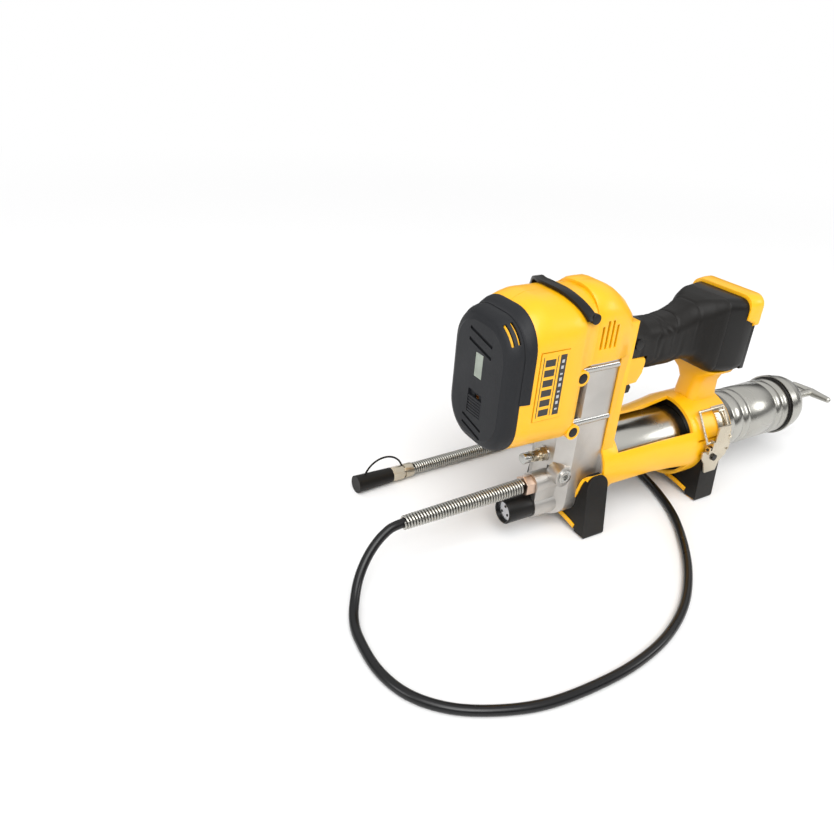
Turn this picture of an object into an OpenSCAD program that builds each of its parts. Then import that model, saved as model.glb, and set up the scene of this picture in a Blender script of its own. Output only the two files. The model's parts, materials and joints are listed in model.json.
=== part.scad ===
// Cordless grease gun. Millimetres, +X towards the nose, +Y to the tool's left, +Z up.
// Z = 0 is the surface that the feet stand on. The origin is below the middle of the tool.

/* [Barrel] */
// Outside diameter of the grease barrel
barrel_d = 57; // [54:0.5:60]
// Wall of the grease barrel
barrel_wall = 1.5; // [1:0.1:2.5]
// Length of the barrel from its rear rim to the pump thread
barrel_len = 261; // [252:1:280]
// Height of the barrel's axis above the floor
axis_z = 57; // [54:1:62]
// Length of the barrel that is screwed into the pump head
barrel_seat = 14; // [10:1:16]
// Length of the end cap behind the seal ring
end_cap_len = 38; // [34:1:42]

/* [Follower] */
// Diameter of the follower rod
rod_d = 8; // [6:0.5:10]
// How far the rod stands out behind the end cap
rod_out = 40.4; // [36:0.2:56]
// Length of the cross handle on the rod
handle_bar = 48; // [36:1:56]
// Distance of the follower from the front of the barrel
follower_gap = 34; // [26:1:60]
// Travel of the follower rod
follower_travel = 140; // [80:5:150]

/* [Pump head] */
// Width of the pump head
head_w = 52; // [50:1:56]
// Height of the pump head's side plates above the floor
head_top = 167; // [160:1:172]
// Length of the outlet and lamp nose in front of the head
nose_len = 18; // [14:1:24]
// Height of the hose outlet above the floor
hose_z = 49; // [46:0.5:52]
// Sideways offset of the outlet and the lamp
hose_y = 8; // [4:0.5:9]
// Diameter of the lamp
lamp_d = 22; // [18:0.5:24]
// Height of the lamp's axis above the floor
lamp_z = 27.5; // [26:0.5:30]
// Length of the lamp in front of the nose
lamp_len = 26; // [18:1:34]

/* [Gears] */
// Tooth size, pitch diameter divided by the number of teeth
gear_module = 0.8; // [0.7:0.05:0.85]
// Teeth on both wheels
wheel_teeth = 48; // [40:1:50]
// Teeth on both pinions
pinion_teeth = 12; // [12:1:15]
// Throw of the crank pin
crank_throw = 6; // [4:0.5:7]
// Diameter of the crank pin
crank_pin_d = 6; // [5:0.5:7]
// Diameter of the pump plunger
plunger_d = 8; // [6:0.5:10]

/* [Motor] */
// Diameter of the motor can
motor_d = 48; // [40:1:52]
// Length of the motor can
motor_len = 50; // [40:1:52]
// Diameter of the cooling fan
fan_d = 44; // [36:1:50]
// Diameter of the motor shaft
motor_shaft_d = 5; // [4:0.5:6]

/* [Motor housing] */
// Half of the motor housing's width
housing_hw = 39; // [37:0.5:42]
// Height of the motor housing's top above the floor
housing_top = 223; // [218:1:228]
// Height of the motor housing's underside above the floor
housing_floor = 100; // [98:1:104]
// Length of the motor housing from the frame's joint to the end cap's seam
housing_len = 72; // [66:1:84]
// Depth of the end cap in front of the seam
cap_len = 14; // [12:0.5:20]
// Wall of the plastic shells
shell_wall = 3; // [2:0.25:3.5]

/* [Handle] */
// Half of the grip's width
grip_hw = 17.5; // [16:0.5:20]
// Height of the grip's underside above the floor
grip_low = 139.5; // [137:0.5:142]
// Height of the grip's top above the floor
grip_high = 184; // [181:0.5:187]
// Thickness of the rubber over the handle
grip_rubber = 3; // [2:0.25:4]
// Travel of the trigger
trigger_travel = 6; // [3:0.5:7]
// Width of the trigger
trigger_w = 22; // [16:1:23]
// Travel of the lock-off button
lock_travel = 3; // [2:0.5:4]
// Diameter of the lock-off button
lock_d = 9; // [7:0.5:11]

/* [Barrel jacket] */
// Room between the barrel and the jacket's front part
jacket_room = 3.9; // [3.2:0.1:5]
// Wall of the jacket's front part
jacket_wall = 2.6; // [2:0.2:3.4]
// Thickness of the black liner in the rear ring
liner_wall = 7.6; // [6:0.2:9]
// Wall of the jacket's rear ring
ring_wall = 3.6; // [2.6:0.2:4.4]
// Length of the rear ring
ring_len = 52; // [44:1:56]
// Length of the black liner in the rear ring
liner_len = 48; // [40:1:50]
// Lower edge of the side window, as an angle from the left
window_low = 29; // [24:1:36]
// Upper edge of the side window, as an angle from the left
window_high = 95; // [88:1:100]

/* [Feet] */
// Half of the stance at the floor
foot_hw = 44; // [43:0.5:50]
// Length of each foot along the tool
foot_len = 24; // [20:1:28]
// Thickness of the rubber on a foot
foot_rubber = 3; // [2:0.25:4]

/* [Latch] */
// Thickness of the latch's sheet steel
latch_t = 1.6; // [1.2:0.1:2.2]
// Diameter of the latch's wire bail
bail_d = 2.6; // [2:0.1:3]
// Swing of the latch lever
latch_swing = 75; // [40:5:80]

/* [Hose] */
// Outside diameter of the hose
hose_d = 7.6; // [6.6:0.2:8]
// Length of each spring guard
guard_len = 118; // [108:1:120]
// Outside diameter of the guard at the pump
guard_big_d = 14.5; // [13:0.5:16]
// Outside diameter of the guard at the hose
guard_small_d = 12; // [11:0.5:12.5]
// Droop of the pump's spring guard, in degrees
guard_droop = 1.3; // [0:0.1:2]
// Across the corners of the hose nut
nut_d = 18.5; // [17:0.5:20]
// Length of the hose nut
nut_len = 9; // [7:0.5:12]

/* [Hidden] */

yellow = "#f5b21a";
charcoal = "#3a3a3d";
rubber_black = "#2c2623";
plastic_black = "#1b1b1c";
cast_metal = "#a8a39c";
bright_steel = "#c9c9c4";
nickel = "#c8b48c";
copper = "#d9b79c";

fit = 0.05;                                   // running clearance, radial
gap = 0.3;                                    // clearance between pieces that pass each other
barrel_r = barrel_d / 2;

head_rear = barrel_len - barrel_seat;         // rear face of the pump head's barrel socket
head_side_rear = barrel_len + 1;
head_side_front = head_side_rear + 31;
head_front = head_side_front + 9;
head_low = 16;
head_hw = head_w / 2;
lobe_front = head_front + nose_len;
socket_r = barrel_r + jacket_room - 0.1;
split_x = head_front - 4;                     // joint between frame and motor housing
housing_front = split_x + housing_len;
nose_x = housing_front + cap_len;
bar_r = 4.6;                                  // thickest place of the rod's cross handle
tail_x = -end_cap_len - rod_out - bar_r;
mid_x = (tail_x + nose_x) / 2;                // the origin stands under this place
cavity_front = head_side_front - 2;
cavity_rear = head_side_rear + 3;

// Gear train: the motor pinion drives the idler wheel, and the idler pinion drives the crank wheel.
wheel_r = gear_module * wheel_teeth / 2;
pinion_r = gear_module * pinion_teeth / 2;
gear_gap = wheel_r + pinion_r;
crank_z = axis_z + 71;
idler_z = crank_z + gear_gap;
motor_z = idler_z + gear_gap;
first_x = cavity_rear + 2;                    // plane of the motor pinion and idler wheel
first_w = 6;
second_x = first_x + first_w + 1;             // plane of the idler pinion and crank wheel
second_w = 6;
gear_bore_d = 5;
yoke_x = second_x + second_w + 1;
yoke_w = 7;
plunger_x = yoke_x + yoke_w / 2;

fan_x = head_front + 3;
fan_len = 9;
motor_x = fan_x + fan_len + 3;

jacket_r = barrel_r + jacket_room + jacket_wall;
liner_r = barrel_r + gap + liner_wall;
ring_r = liner_r + ring_wall;
ring_rear = 104;
window_rear = ring_rear + ring_len;
jacket_front = head_side_rear - gap;

grip_front = head_side_rear - 16;
grip_rear = ring_rear + 36;
base_rear = ring_rear + 8;
base_low = grip_low - 9.5;
base_top = grip_high + 14.5;
trigger_x = grip_front - 8;                   // front face of the trigger
lock_x = grip_front - 10;
lock_z = grip_high - 14;

front_foot_x = head_side_rear - 5;
rear_foot_x = ring_rear + 11;

// ---- helpers -----------------------------------------------------------------------------------

// Moves a module from the barrel's rear rim to the part's origin.
module placed() { translate([-mid_x, 0, 0]) children(); }

// Cylinder along X from x0 to x1.
module xcyl(x0, x1, r, y = 0, z = 0, fn = 64) {
    translate([x0, y, z]) rotate([0, 90, 0]) cylinder(h = x1 - x0, r = r, $fn = fn);
}

// Cylinder along Y from y0 to y1.
module ycyl(y0, y1, r, x = 0, z = 0, fn = 48) {
    translate([x, y1, z]) rotate([90, 0, 0]) cylinder(h = y1 - y0, r = r, $fn = fn);
}

// Cylinder along Z from z0 to z1.
module zcyl(z0, z1, r, x = 0, y = 0, fn = 48) {
    translate([x, y, z0]) cylinder(h = z1 - z0, r = r, $fn = fn);
}

// Box between two corners.
module block(a, b) { translate(a) cube(b - a); }

// Outline in Y and Z, extruded along X.
module xprism(x0, x1) { translate([x0, 0, 0]) rotate([90, 0, 90]) linear_extrude(x1 - x0) children(); }

// Outline in X and Z, extruded along Y.
module yprism(y0, y1) { translate([0, y1, 0]) rotate([90, 0, 0]) linear_extrude(y1 - y0) children(); }

// Outline in X and radius, turned about the barrel's axis.
module turned() {
    translate([0, 0, axis_z]) rotate([0, 90, 0]) rotate([0, 0, 90]) rotate_extrude($fn = 96)
        rotate([0, 0, 90]) mirror([0, 1, 0]) children();
}

// Points of an arc, both ends included.
function arc(cy, cz, r, a0, a1, n) = [for (i = [0:n]) let (a = a0 + (a1 - a0) * i / n)
    [cy + r * cos(a), cz + r * sin(a)]];

// Rounded section in Y and Z: half width, bottom, top, and the radii of the lower and upper corners.
function section(hw, z0, z1, rb, rt, n = 6) = concat(
    arc(hw - rb, z0 + rb, rb, -90, 0, n), arc(hw - rt, z1 - rt, rt, 0, 90, n),
    arc(rt - hw, z1 - rt, rt, 90, 180, n), arc(rb - hw, z0 + rb, rb, 180, 270, n));

// Section s = [x, half width, bottom, top, lower radius, upper radius], shrunk by a wall.
function ring_of(s, wall = 0) = [for (p = section(s[1] - wall, s[2] + wall, s[3] - wall,
    max(1, s[4] - wall), max(1, s[5] - wall))) [s[0], p[0], p[1]]];

// Closed skin over rings of equally many points.
module skin(rings) {
    n = len(rings[0]);
    m = len(rings);
    side = [for (i = [0:m - 2], j = [0:n - 1]) let (k = (j + 1) % n)
        each [[i * n + j, (i + 1) * n + j, (i + 1) * n + k], [i * n + j, (i + 1) * n + k, i * n + k]]];
    polyhedron([for (r = rings) each r], concat([[for (j = [0:n - 1]) j]], side,
        [[for (j = [n - 1:-1:0]) (m - 1) * n + j]]));
}

// Skin along X over a list of sections.
module lofted(sections, wall = 0) { skin([for (s = sections) ring_of(s, wall)]); }

// The half of the children on the tool's left (1) or right (-1).
module half(side) {
    intersection() {
        children();
        translate([-400, side > 0 ? 0 : -200, -50]) cube([1000, 200, 400]);
    }
}

// Sector of a ring about the barrel's axis, from angle a0 to a1 measured from +Y towards +Z.
module sector(x0, x1, r, a0, a1, n = 8) {
    xprism(x0, x1) polygon([for (p = concat([[0, 0]], arc(0, 0, r, a0, a1, n))) [p[0], p[1] + axis_z]]);
}

// Spur gear along X with straight-flanked teeth and a round bore.
module spur(x, w, y, z, teeth, bore_d, turn = 0) {
    pitch = gear_module * teeth / 2;
    tip = pitch + 0.9 * gear_module;
    root = pitch - 1.15 * gear_module;
    step = 360 / teeth;
    tooth = [[root, -0.34], [tip, -0.11], [tip, 0.11], [root, 0.34]];
    translate([0, y, z]) difference() {
        xprism(x, x + w) polygon([for (i = [0:teeth - 1], p = tooth)
            let (a = (i + p[1]) * step + turn) p[0] * [cos(a), sin(a)]]);
        if (bore_d > 0) xcyl(x - 1, x + w + 1, bore_d / 2);
    }
}

// ---- motor housing, frame and cap --------------------------------------------------------------

motor_sections = [
    [split_x + gap, housing_hw - 7, housing_floor + 6, housing_top - 0.5, 18, 27],
    [split_x + 9, housing_hw - 5, housing_floor + 2, housing_top, 20, 29],
    [split_x + 19, housing_hw - 1, housing_floor, housing_top, 24, 31],
    [split_x + 30, housing_hw, housing_floor, housing_top, 27, 32],
    [housing_front - 24, housing_hw, housing_floor, housing_top, 28, 32],
    [housing_front - 12, housing_hw, housing_floor, housing_top - 3.5, 28, 31],
    [housing_front, housing_hw - 1, housing_floor, housing_top - 11, 28, 29]];
hump_sections = [
    [head_side_rear - 11, housing_hw - 15, head_top - 17, housing_top - 22, 6, 20],
    [head_side_rear - 8, housing_hw - 11.5, head_top - 17, housing_top - 16, 6, 22],
    [head_side_rear, housing_hw - 9, head_top - 17, housing_top - 8, 6, 24],
    [head_side_rear + 10, housing_hw - 8, head_top - 17, housing_top - 1, 6, 25],
    [head_side_rear + 21, housing_hw - 7.5, head_top - 17, housing_top + 3.5, 6, 26],
    [split_x - 5, housing_hw - 7.5, head_top - 17, housing_top + 3.5, 6, 26],
    [split_x, housing_hw - 8, head_top - 17, housing_top + 2, 6, 26]];
core_low = grip_low + grip_rubber;
core_high = grip_high - grip_rubber;
core_hw = grip_hw - grip_rubber;
screw_x = head_side_front + 17;
screw_z = [head_top - 7, head_top - 54.5];
label_x = [split_x + 33, split_x + 59];
label_z = [housing_floor + 33, housing_floor + 89];

// Round boss and hole places of the two case screws on one side.
module at_case_screws() { for (z = screw_z) translate([screw_x, 0, z]) children(); }

// The whole motor housing before it is split along the tool.
module motor_housing() {
    difference() {
        union() {
            difference() {
                lofted(motor_sections);
                intersection() {
                    lofted(motor_sections, shell_wall);
                    block([split_x + 4, -100, 0], [housing_front + 1, 100, 300]);
                }
                for (s = [-1, 1]) translate([0, s * (housing_hw - 0.4), 0])
                    block([label_x[0] - 1, -0.8, label_z[0] - 1], [label_x[1] + 1, 0.8, label_z[1] + 1]);
            }
            at_case_screws() ycyl(head_hw + 1, housing_hw - 2, 6.5);
            at_case_screws() ycyl(-housing_hw + 2, -head_hw - 1, 6.5);
        }
        block([split_x - 1, -60, housing_floor - 2], [split_x + 12, 60, head_top + 0.5]);
        at_case_screws() ycyl(-60, 60, 2.1);
        at_case_screws() ycyl(housing_hw - 5, 60, 4.2);
        at_case_screws() ycyl(-60, -housing_hw + 5, 4.2);
        block([head_front - 12, -head_hw - 0.5, 60], [head_front + 4, head_hw + 0.5, head_top + 0.5]);
        block([split_x - 2, -neck_hw - 1, head_top], [split_x + 8, neck_hw + 1, motor_z + 30]);
    }
}
module motor_housing_left() { placed() color(yellow) half(1) motor_housing(); }
module motor_housing_right() { placed() color(yellow) half(-1) motor_housing(); }

// Solid core of the handle, grown on every side by a clearance or shrunk by a wall.
module handle_core(grow = 0) {
    lofted([[grip_rear - 1, core_hw, core_low, core_high, 9, 12],
        [grip_front + 5, core_hw, core_low + 3, core_high + 3, 9, 12]], -grow);
}

// Rear hump, spine, trigger flanges and the core of the handle, before they are split.
module frame() {
    difference() {
        union() {
            difference() {
                intersection() {
                    lofted(hump_sections);
                    block([0, -60, head_top + 0.3], [500, 60, 300]);
                }
                intersection() {
                    lofted(hump_sections, shell_wall);
                    block([0, -60, head_top + 3], [split_x + 1, 60, 300]);
                }
            }
            block([grip_front + 4, -head_hw - 1.5, axis_z + 20],
                [head_side_rear - 0.2, head_hw + 1.5, housing_top - 27]);
            yprism(-grip_hw + 0.5, grip_hw - 0.5) polygon(concat(
                [[grip_front + 6, grip_low - 8.5], [grip_front + 6, grip_low + 17.5]],
                arc(trigger_x - 12, grip_low + 11.5, 5, 90, 180, 4),
                [[trigger_x - 16, grip_low + 1.5], [trigger_x - 11, grip_low - 6.5]]));
            intersection() {
                handle_core();
                block([grip_rear + 4, -60, 0], [grip_front + 5, 60, 300]);
            }
        }
        // room for the barrel, the pump head's socket, the trigger and the wiring
        xcyl(ring_rear, split_x, jacket_r + gap, 0, axis_z);
        block([grip_front + 7.5, -head_hw + 3, axis_z + 44],
            [head_side_rear + 1, head_hw - 3, housing_top - 24]);
        block([trigger_x - 23, -trigger_w / 2 - gap, grip_low - 19.5],
            [trigger_x + 10, trigger_w / 2 + gap, grip_high - 12]);
        handle_core(-2.5);
        block([grip_front + 4, -8, grip_high - 19], [grip_front + 9, 8, grip_high - 3]);
        ycyl(-40, 40, lock_d / 2 + gap, lock_x, lock_z);
        // air slots on the sides and on the top
        for (i = [0:3]) translate([head_side_rear + 14 + 5 * i, -60, head_top + 12])
            cube([2.4, 120, i == 0 || i == 3 ? 19 : 23]);
        for (i = [0:1], s = [-1, 1]) translate([head_side_rear + 1 + 7 * i, 8 * s - 5, housing_top - 18])
            cube([2.6, 10, 30]);
        block([head_side_rear - 1, -head_hw - 0.2, 40], [split_x + 1, head_hw + 0.2, head_top + 0.2]);
        block([head_side_rear - 1, -neck_hw - gap, 60], [split_x + 1, neck_hw + gap, neck_top + gap]);
        block([head_side_rear - 1, -17, 60], [split_x + 1, 17, motor_z + 12]);
    }
}
module frame_left() { placed() color(yellow) half(1) frame(); }
module frame_right() { placed() color(yellow) half(-1) frame(); }

cap_sections = [
    [housing_front + 0.1, housing_hw - 1, housing_floor, housing_top - 11, 28, 29],
    [housing_front + cap_len * 0.55, housing_hw - 2, housing_floor + 0.5, housing_top - 12.5, 28, 29],
    [housing_front + cap_len * 0.85, housing_hw - 4.5, housing_floor + 3.5, housing_top - 16, 27, 27],
    [housing_front + cap_len, housing_hw - 9, housing_floor + 8, housing_top - 21, 24, 24]];
slider_y = [-9, 9];
slider_z = [housing_floor + 26, housing_floor + 46];
pane_y = [-4.5, 5.5];
pane_z = [housing_floor + 58, housing_floor + 78];
module motor_end_cap() {
    placed() color(charcoal) difference() {
        lofted(cap_sections);
        intersection() {
            lofted(cap_sections, shell_wall);
            block([housing_front - 1, -60, 0], [nose_x - 4.5, 60, 300]);
        }
        block([nose_x - 2.2, slider_y[0], slider_z[0]], [nose_x + 1, slider_y[1], slider_z[1]]);
        block([nose_x - 10, -3, slider_z[0] + 7], [nose_x + 1, 3, slider_z[0] + 17]);
        block([nose_x - 1.6, pane_y[0], pane_z[0]], [nose_x + 1, pane_y[1], pane_z[1]]);
        for (i = [0:1]) translate([nose_x, 0, housing_top - 33 - 9 * i]) rotate([-12, 0, 0])
            block([-1.4, -15, 0], [1, 15, 2.6]);
        for (i = [0:1]) translate([nose_x, 0, housing_floor + 18 - 7 * i]) rotate([-12, 0, 0])
            block([-1.4, -14, 0], [1, 12, 2.2]);
        for (i = [0:1], s = [-1, 1])
            translate([housing_front + 3.5 + 4.5 * i, s * (housing_hw - 9), housing_top - 17])
                rotate([s * -42, 0, 0]) block([0, -9, -8], [2.2, 9, 8]);
    }
}
module cap_window() {
    placed() color("#b9c0ae") block([nose_x - 1.6, pane_y[0] + fit, pane_z[0] + fit],
        [nose_x - 0.3, pane_y[1] - fit, pane_z[1] - fit]);
}
slider_travel = 5;
module speed_slider() {
    placed() color(charcoal) difference() {
        union() {
            block([nose_x - 2.1, slider_y[0] + gap, slider_z[0] + gap],
                [nose_x - 0.2, slider_y[1] - gap, slider_z[1] - slider_travel - 2 * gap]);
            block([nose_x - 7, -2.6, slider_z[0] + 8], [nose_x - 2, 2.6, slider_z[0] + 10.6]);
        }
        for (i = [0:4]) block([nose_x - 0.8, slider_y[0] - 1, slider_z[0] + 2 + 2.4 * i],
            [nose_x + 1, slider_y[1] + 1, slider_z[0] + 3.2 + 2.4 * i]);
    }
}
module label_plate() {
    placed() color("#24221f") for (s = [-1, 1]) translate([0, s * (housing_hw - 0.15), 0])
        block([label_x[0], -0.65, label_z[0]], [label_x[1], 0.65, label_z[1]]);
}
module case_screws() {
    placed() color(plastic_black) for (s = [0, 1]) mirror([0, s, 0]) at_case_screws() {
        ycyl(housing_hw - 5, housing_hw - 1.5, 4);
        ycyl(fan_d / 2 - 5, housing_hw - 5, 2);
    }
}

// Black strap over the joint of frame and motor housing, with a raised loop for a sling.
strap_w = 9;
strap_z = housing_top - 15;                    // height of the strap's screws
function strap_r(a) = 1.2 + (abs(a - 115) < 16 ? 2.2 * (1 + cos((a - 115) * 11.25)) / 2 : 0);
function strap_point(a, lift) = let (s = motor_sections[2], r = s[5] + lift)
    [split_x + 9 + 16 * pow(sin(a), 2), (a < 90 ? s[1] - s[5] : s[5] - s[1]) + r * cos(a),
        s[3] + 0.8 - s[5] + r * sin(a)];
module strap_loop() {
    n = 26;
    placed() color(plastic_black) difference() {
        skin([for (i = [0:n]) let (a = 26 + 128 * i / n, low = strap_r(a) - 0.9, half_w = [strap_w / 2, 0, 0])
            [strap_point(a, low) - half_w, strap_point(a, low) + half_w,
             strap_point(a, low + 2.4) + half_w, strap_point(a, low + 2.4) - half_w]]);
        ycyl(-60, 60, 4.2 + fit, split_x + 9, strap_z);
    }
}
module strap_screws() {
    placed() color(plastic_black) for (s = [0, 1]) mirror([0, s, 0])
        ycyl(housing_hw - 6, housing_hw - 2, 4.2, split_x + 9, strap_z);
}

// ---- pump head, motor and gears ----------------------------------------------------------------

// Outline of the pump head seen from above, with chamfered front corners.
module head_outline() {
    polygon([[head_side_rear, -head_hw], [head_side_front, -head_hw], [head_front, -12], [head_front, 12],
        [head_side_front, head_hw], [head_side_rear, head_hw]]);
}
bleeder_z = axis_z + 14;
plug_x = head_side_front + 5;
plug_head_r = 6.4;
neck_hw = wheel_r + 5;                         // half width of the head's neck around the idler wheel
neck_top = idler_z + wheel_r + 5;
plug_z = axis_z + 3;
module pump_head() {
    placed() color(cast_metal) difference() {
        union() {
            // side block with chamfered front corners and a rounded underside
            intersection() {
                translate([0, 0, head_low]) linear_extrude(head_top - head_low) head_outline();
                lofted([for (x = [head_side_rear, head_front]) [x, head_hw, head_low, head_top, 15, 1.5]]);
            }
            xcyl(head_rear, head_side_rear + 1, socket_r, 0, axis_z);
            block([head_side_rear, -neck_hw, head_top - 5], [head_side_front, neck_hw, neck_top]);
            block([head_side_rear, -16, neck_top - 5], [head_side_front, 16, motor_z + 9]);
            // outlet and lamp nose
            xcyl(head_front - 8, lobe_front, 10, hose_y, hose_z);
            xcyl(head_front - 8, lobe_front, lamp_d / 2 + 1, hose_y, lamp_z);
            block([head_front - 8, hose_y - 7, lamp_z], [lobe_front, hose_y + 9, hose_z]);
            xcyl(head_front - 4, head_front + 1.5, 7, 0, bleeder_z);
            // polished ribs on the side plates and the plug boss
            for (s = [-1, 1], z = screw_z) xcyl(head_side_rear, head_side_front, 2.5, s * (head_hw - 0.9), z, 32);
            ycyl(12, head_hw - 1, 9.5, plug_x, plug_z);
        }
        // gear room, open towards the motor
        block([cavity_rear, -wheel_r - 2, crank_z - wheel_r - 8], [head_front + 1, wheel_r + 2, neck_top - 3]);
        block([cavity_rear, -9, neck_top - 9], [head_front + 1, 9, motor_z + 6]);
        // barrel socket and grease channel to the plunger
        xcyl(head_rear - 1, barrel_len + 0.2, barrel_r + fit, 0, axis_z, 96);
        xcyl(barrel_len - 1, plunger_x, 6, 0, axis_z);
        zcyl(axis_z - 12, crank_z, plunger_d / 2 + fit, plunger_x);
        // outlet bore, lamp socket, bleeder and plug threads
        xcyl(plunger_x - 2, lobe_front + 1, 3.2, 0, hose_z);
        xcyl(lobe_front - 12, lobe_front + 1, 5 + fit, hose_y, hose_z);
        xcyl(lobe_front - 6, lobe_front + 1, lamp_d / 2 - 1 + fit, hose_y, lamp_z);
        xcyl(head_front - 14, head_front + 3, 4 + fit, 0, bleeder_z);
        ycyl(6, head_hw + 2, 5 + fit, plug_x, plug_z);
        ycyl(20 - fit, head_hw + 2, plug_head_r + fit, plug_x, plug_z);
        xcyl(cavity_rear - 2.5, cavity_rear + 1, 4 + fit, 0, motor_z);
        for (z = [idler_z, crank_z]) xcyl(cavity_rear - 2.5, cavity_rear + 1, gear_bore_d / 2 + fit, 0, z);
    }
}
cover_x = yoke_x + yoke_w + 1;
module gear_cover() {
    placed() color(cast_metal) difference() {
        union() {
            block([cover_x, -wheel_r - 1.8, crank_z - wheel_r - 7.8],
                [cover_x + 3, wheel_r + 1.8, neck_top - 3.2]);
            block([cover_x, -8.8, neck_top - 5], [cover_x + 3, 8.8, motor_z + 5.8]);
        }
        xcyl(cover_x - 1, cover_x + 4, 4 + fit, 0, motor_z);
        xcyl(cover_x - 1, cover_x + 4, gear_bore_d / 2 + fit, 0, idler_z);
    }
}
module head_plug() {
    placed() color(bright_steel) difference() {
        union() {
            ycyl(8, 20, 5, plug_x, plug_z);
            ycyl(20, 26.5, plug_head_r, plug_x, plug_z);
        }
        translate([plug_x, 23, plug_z]) rotate([-90, 0, 0]) cylinder(h = 10, r = 3, $fn = 6);
    }
}
module motor_can() {
    placed() color("#8d8d90") difference() {
        xcyl(motor_x, motor_x + motor_len, motor_d / 2, 0, motor_z);
        xcyl(motor_x + 3, motor_x + motor_len - 3, motor_d / 2 - 3, 0, motor_z);
        xcyl(motor_x - 1, motor_x + motor_len + 1, 5 + fit, 0, motor_z);
    }
}
module rotor() {
    placed() color("#b4662f") {
        xcyl(cavity_rear - 1, motor_x + motor_len + 2, motor_shaft_d / 2, 0, motor_z);
        xcyl(motor_x + 8, motor_x + motor_len - 10, motor_d / 2 - 7, 0, motor_z);
        spur(first_x, first_w, 0, motor_z, pinion_teeth, motor_shaft_d - 1);
    }
}
module fan() {
    placed() color(plastic_black) {
        difference() {
            union() {
                xcyl(fan_x + fan_len - 2, fan_x + fan_len, fan_d / 2, 0, motor_z);
                xcyl(fan_x, fan_x + fan_len, 6, 0, motor_z);
            }
            xcyl(fan_x - 1, fan_x + fan_len + 1, motor_shaft_d / 2, 0, motor_z);
        }
        translate([0, 0, motor_z]) for (i = [0:10]) rotate([i * 360 / 11, 0, 0])
            block([fan_x + 1, -0.7, 5.5], [fan_x + fan_len - 1.5, 0.7, fan_d / 2 - 1]);
    }
}
module motor_bearings() {
    placed() color(bright_steel) {
        for (x = [motor_x, motor_x + motor_len - 3]) ring(x, 3, 5, motor_shaft_d / 2 + fit, motor_z);
        ring(cover_x, 3, 4, motor_shaft_d / 2 + fit, motor_z);
        ring(cavity_rear - 2.5, 2.5, 4, motor_shaft_d / 2 + fit, motor_z);
    }
}
// Plain ring along X.
module ring(x, w, r_out, r_in, z) {
    difference() {
        xcyl(x, x + w, r_out, 0, z);
        xcyl(x - 1, x + w + 1, r_in, 0, z);
    }
}
half_tooth = 180 / wheel_teeth;
module idler_gear() {
    placed() color("#8f8f86") {
        spur(first_x, first_w, 0, idler_z, wheel_teeth, 0, 90 + half_tooth);
        spur(second_x - 1, second_w + 1, 0, idler_z, pinion_teeth, 0, 0);
        xcyl(cavity_rear - 2, cover_x + 2.6, gear_bore_d / 2, 0, idler_z);
    }
}
module crank_gear() {
    placed() color("#8f8f86") {
        spur(second_x, second_w, 0, crank_z, wheel_teeth, 0, 90 + half_tooth);
        xcyl(cavity_rear - 2, second_x + 1, gear_bore_d / 2, 0, crank_z);
        xcyl(second_x + second_w - 1, yoke_x + yoke_w - 0.5, crank_pin_d / 2, crank_throw, crank_z);
    }
}
module gear_bushings() {
    placed() color("#c08a4a") for (z = [idler_z, crank_z])
        ring(cavity_rear + 0.1, first_x - cavity_rear - 0.5, 5, gear_bore_d / 2 + fit, z);
}
yoke_in = crank_throw + crank_pin_d / 2 + 0.4; // half of the yoke window's width
yoke_up = yoke_in + 0.8;                       // half of its height
module plunger() {
    placed() color(bright_steel) {
        difference() {
            block([yoke_x + 0.2, -yoke_in - 3, crank_z - yoke_up - 3],
                [yoke_x + yoke_w - 0.2, yoke_in + 3, crank_z + yoke_up + 3]);
            block([yoke_x - 1, -yoke_in, crank_z - yoke_up],
                [yoke_x + yoke_w + 1, yoke_in, crank_z + yoke_up]);
        }
        zcyl(axis_z - 4, crank_z - yoke_up - 2.5, plunger_d / 2, plunger_x);
    }
}
module outlet_valve() {
    placed() color(bright_steel) {
        translate([lobe_front - 16, 0, hose_z]) sphere(r = 2.6, $fn = 32);
        xcyl(lobe_front - 13.2, lobe_front - 12.6, 2.4, 0, hose_z);
    }
}
module bleeder_body() {
    placed() color(nickel) difference() {
        union() {
            xcyl(head_front - 12, head_front + 1.5, 4, 0, bleeder_z);
            translate([head_front + 1.6, 0, bleeder_z]) rotate([0, 90, 0]) cylinder(h = 5, r = 6.6, $fn = 6);
            xcyl(head_front + 6.5, head_front + 9.5, 4.6, 0, bleeder_z);
            translate([head_front + 9.5, 0, bleeder_z]) rotate([0, 90, 0]) cylinder(h = 5, r = 5.4, $fn = 6);
        }
        xcyl(head_front - 8, head_front + 20, 2 + fit, 0, bleeder_z);
    }
}
bleeder_travel = 2.5;
module bleeder_button() {
    placed() color(bright_steel) {
        xcyl(head_front - 3, head_front + 18, 2, 0, bleeder_z);
        xcyl(head_front + 14.6 + bleeder_travel, head_front + 24, 4.8, 0, bleeder_z);
    }
}
module lamp_body() {
    placed() color(plastic_black) difference() {
        union() {
            xcyl(lobe_front - 6, lobe_front, lamp_d / 2 - 1, hose_y, lamp_z);
            xcyl(lobe_front, lobe_front + lamp_len, lamp_d / 2, hose_y, lamp_z);
        }
        xcyl(lobe_front + lamp_len - 6, lobe_front + lamp_len + 1, lamp_d / 2 - 2, hose_y, lamp_z);
        xcyl(lobe_front - 7, lobe_front + lamp_len, 3, hose_y, lamp_z);
    }
}
module lamp_lens() {
    placed() color("#d8d8da")
        xcyl(lobe_front + lamp_len - 6, lobe_front + lamp_len - 2.5, lamp_d / 2 - 2, hose_y, lamp_z);
}

// ---- handle ------------------------------------------------------------------------------------

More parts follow.
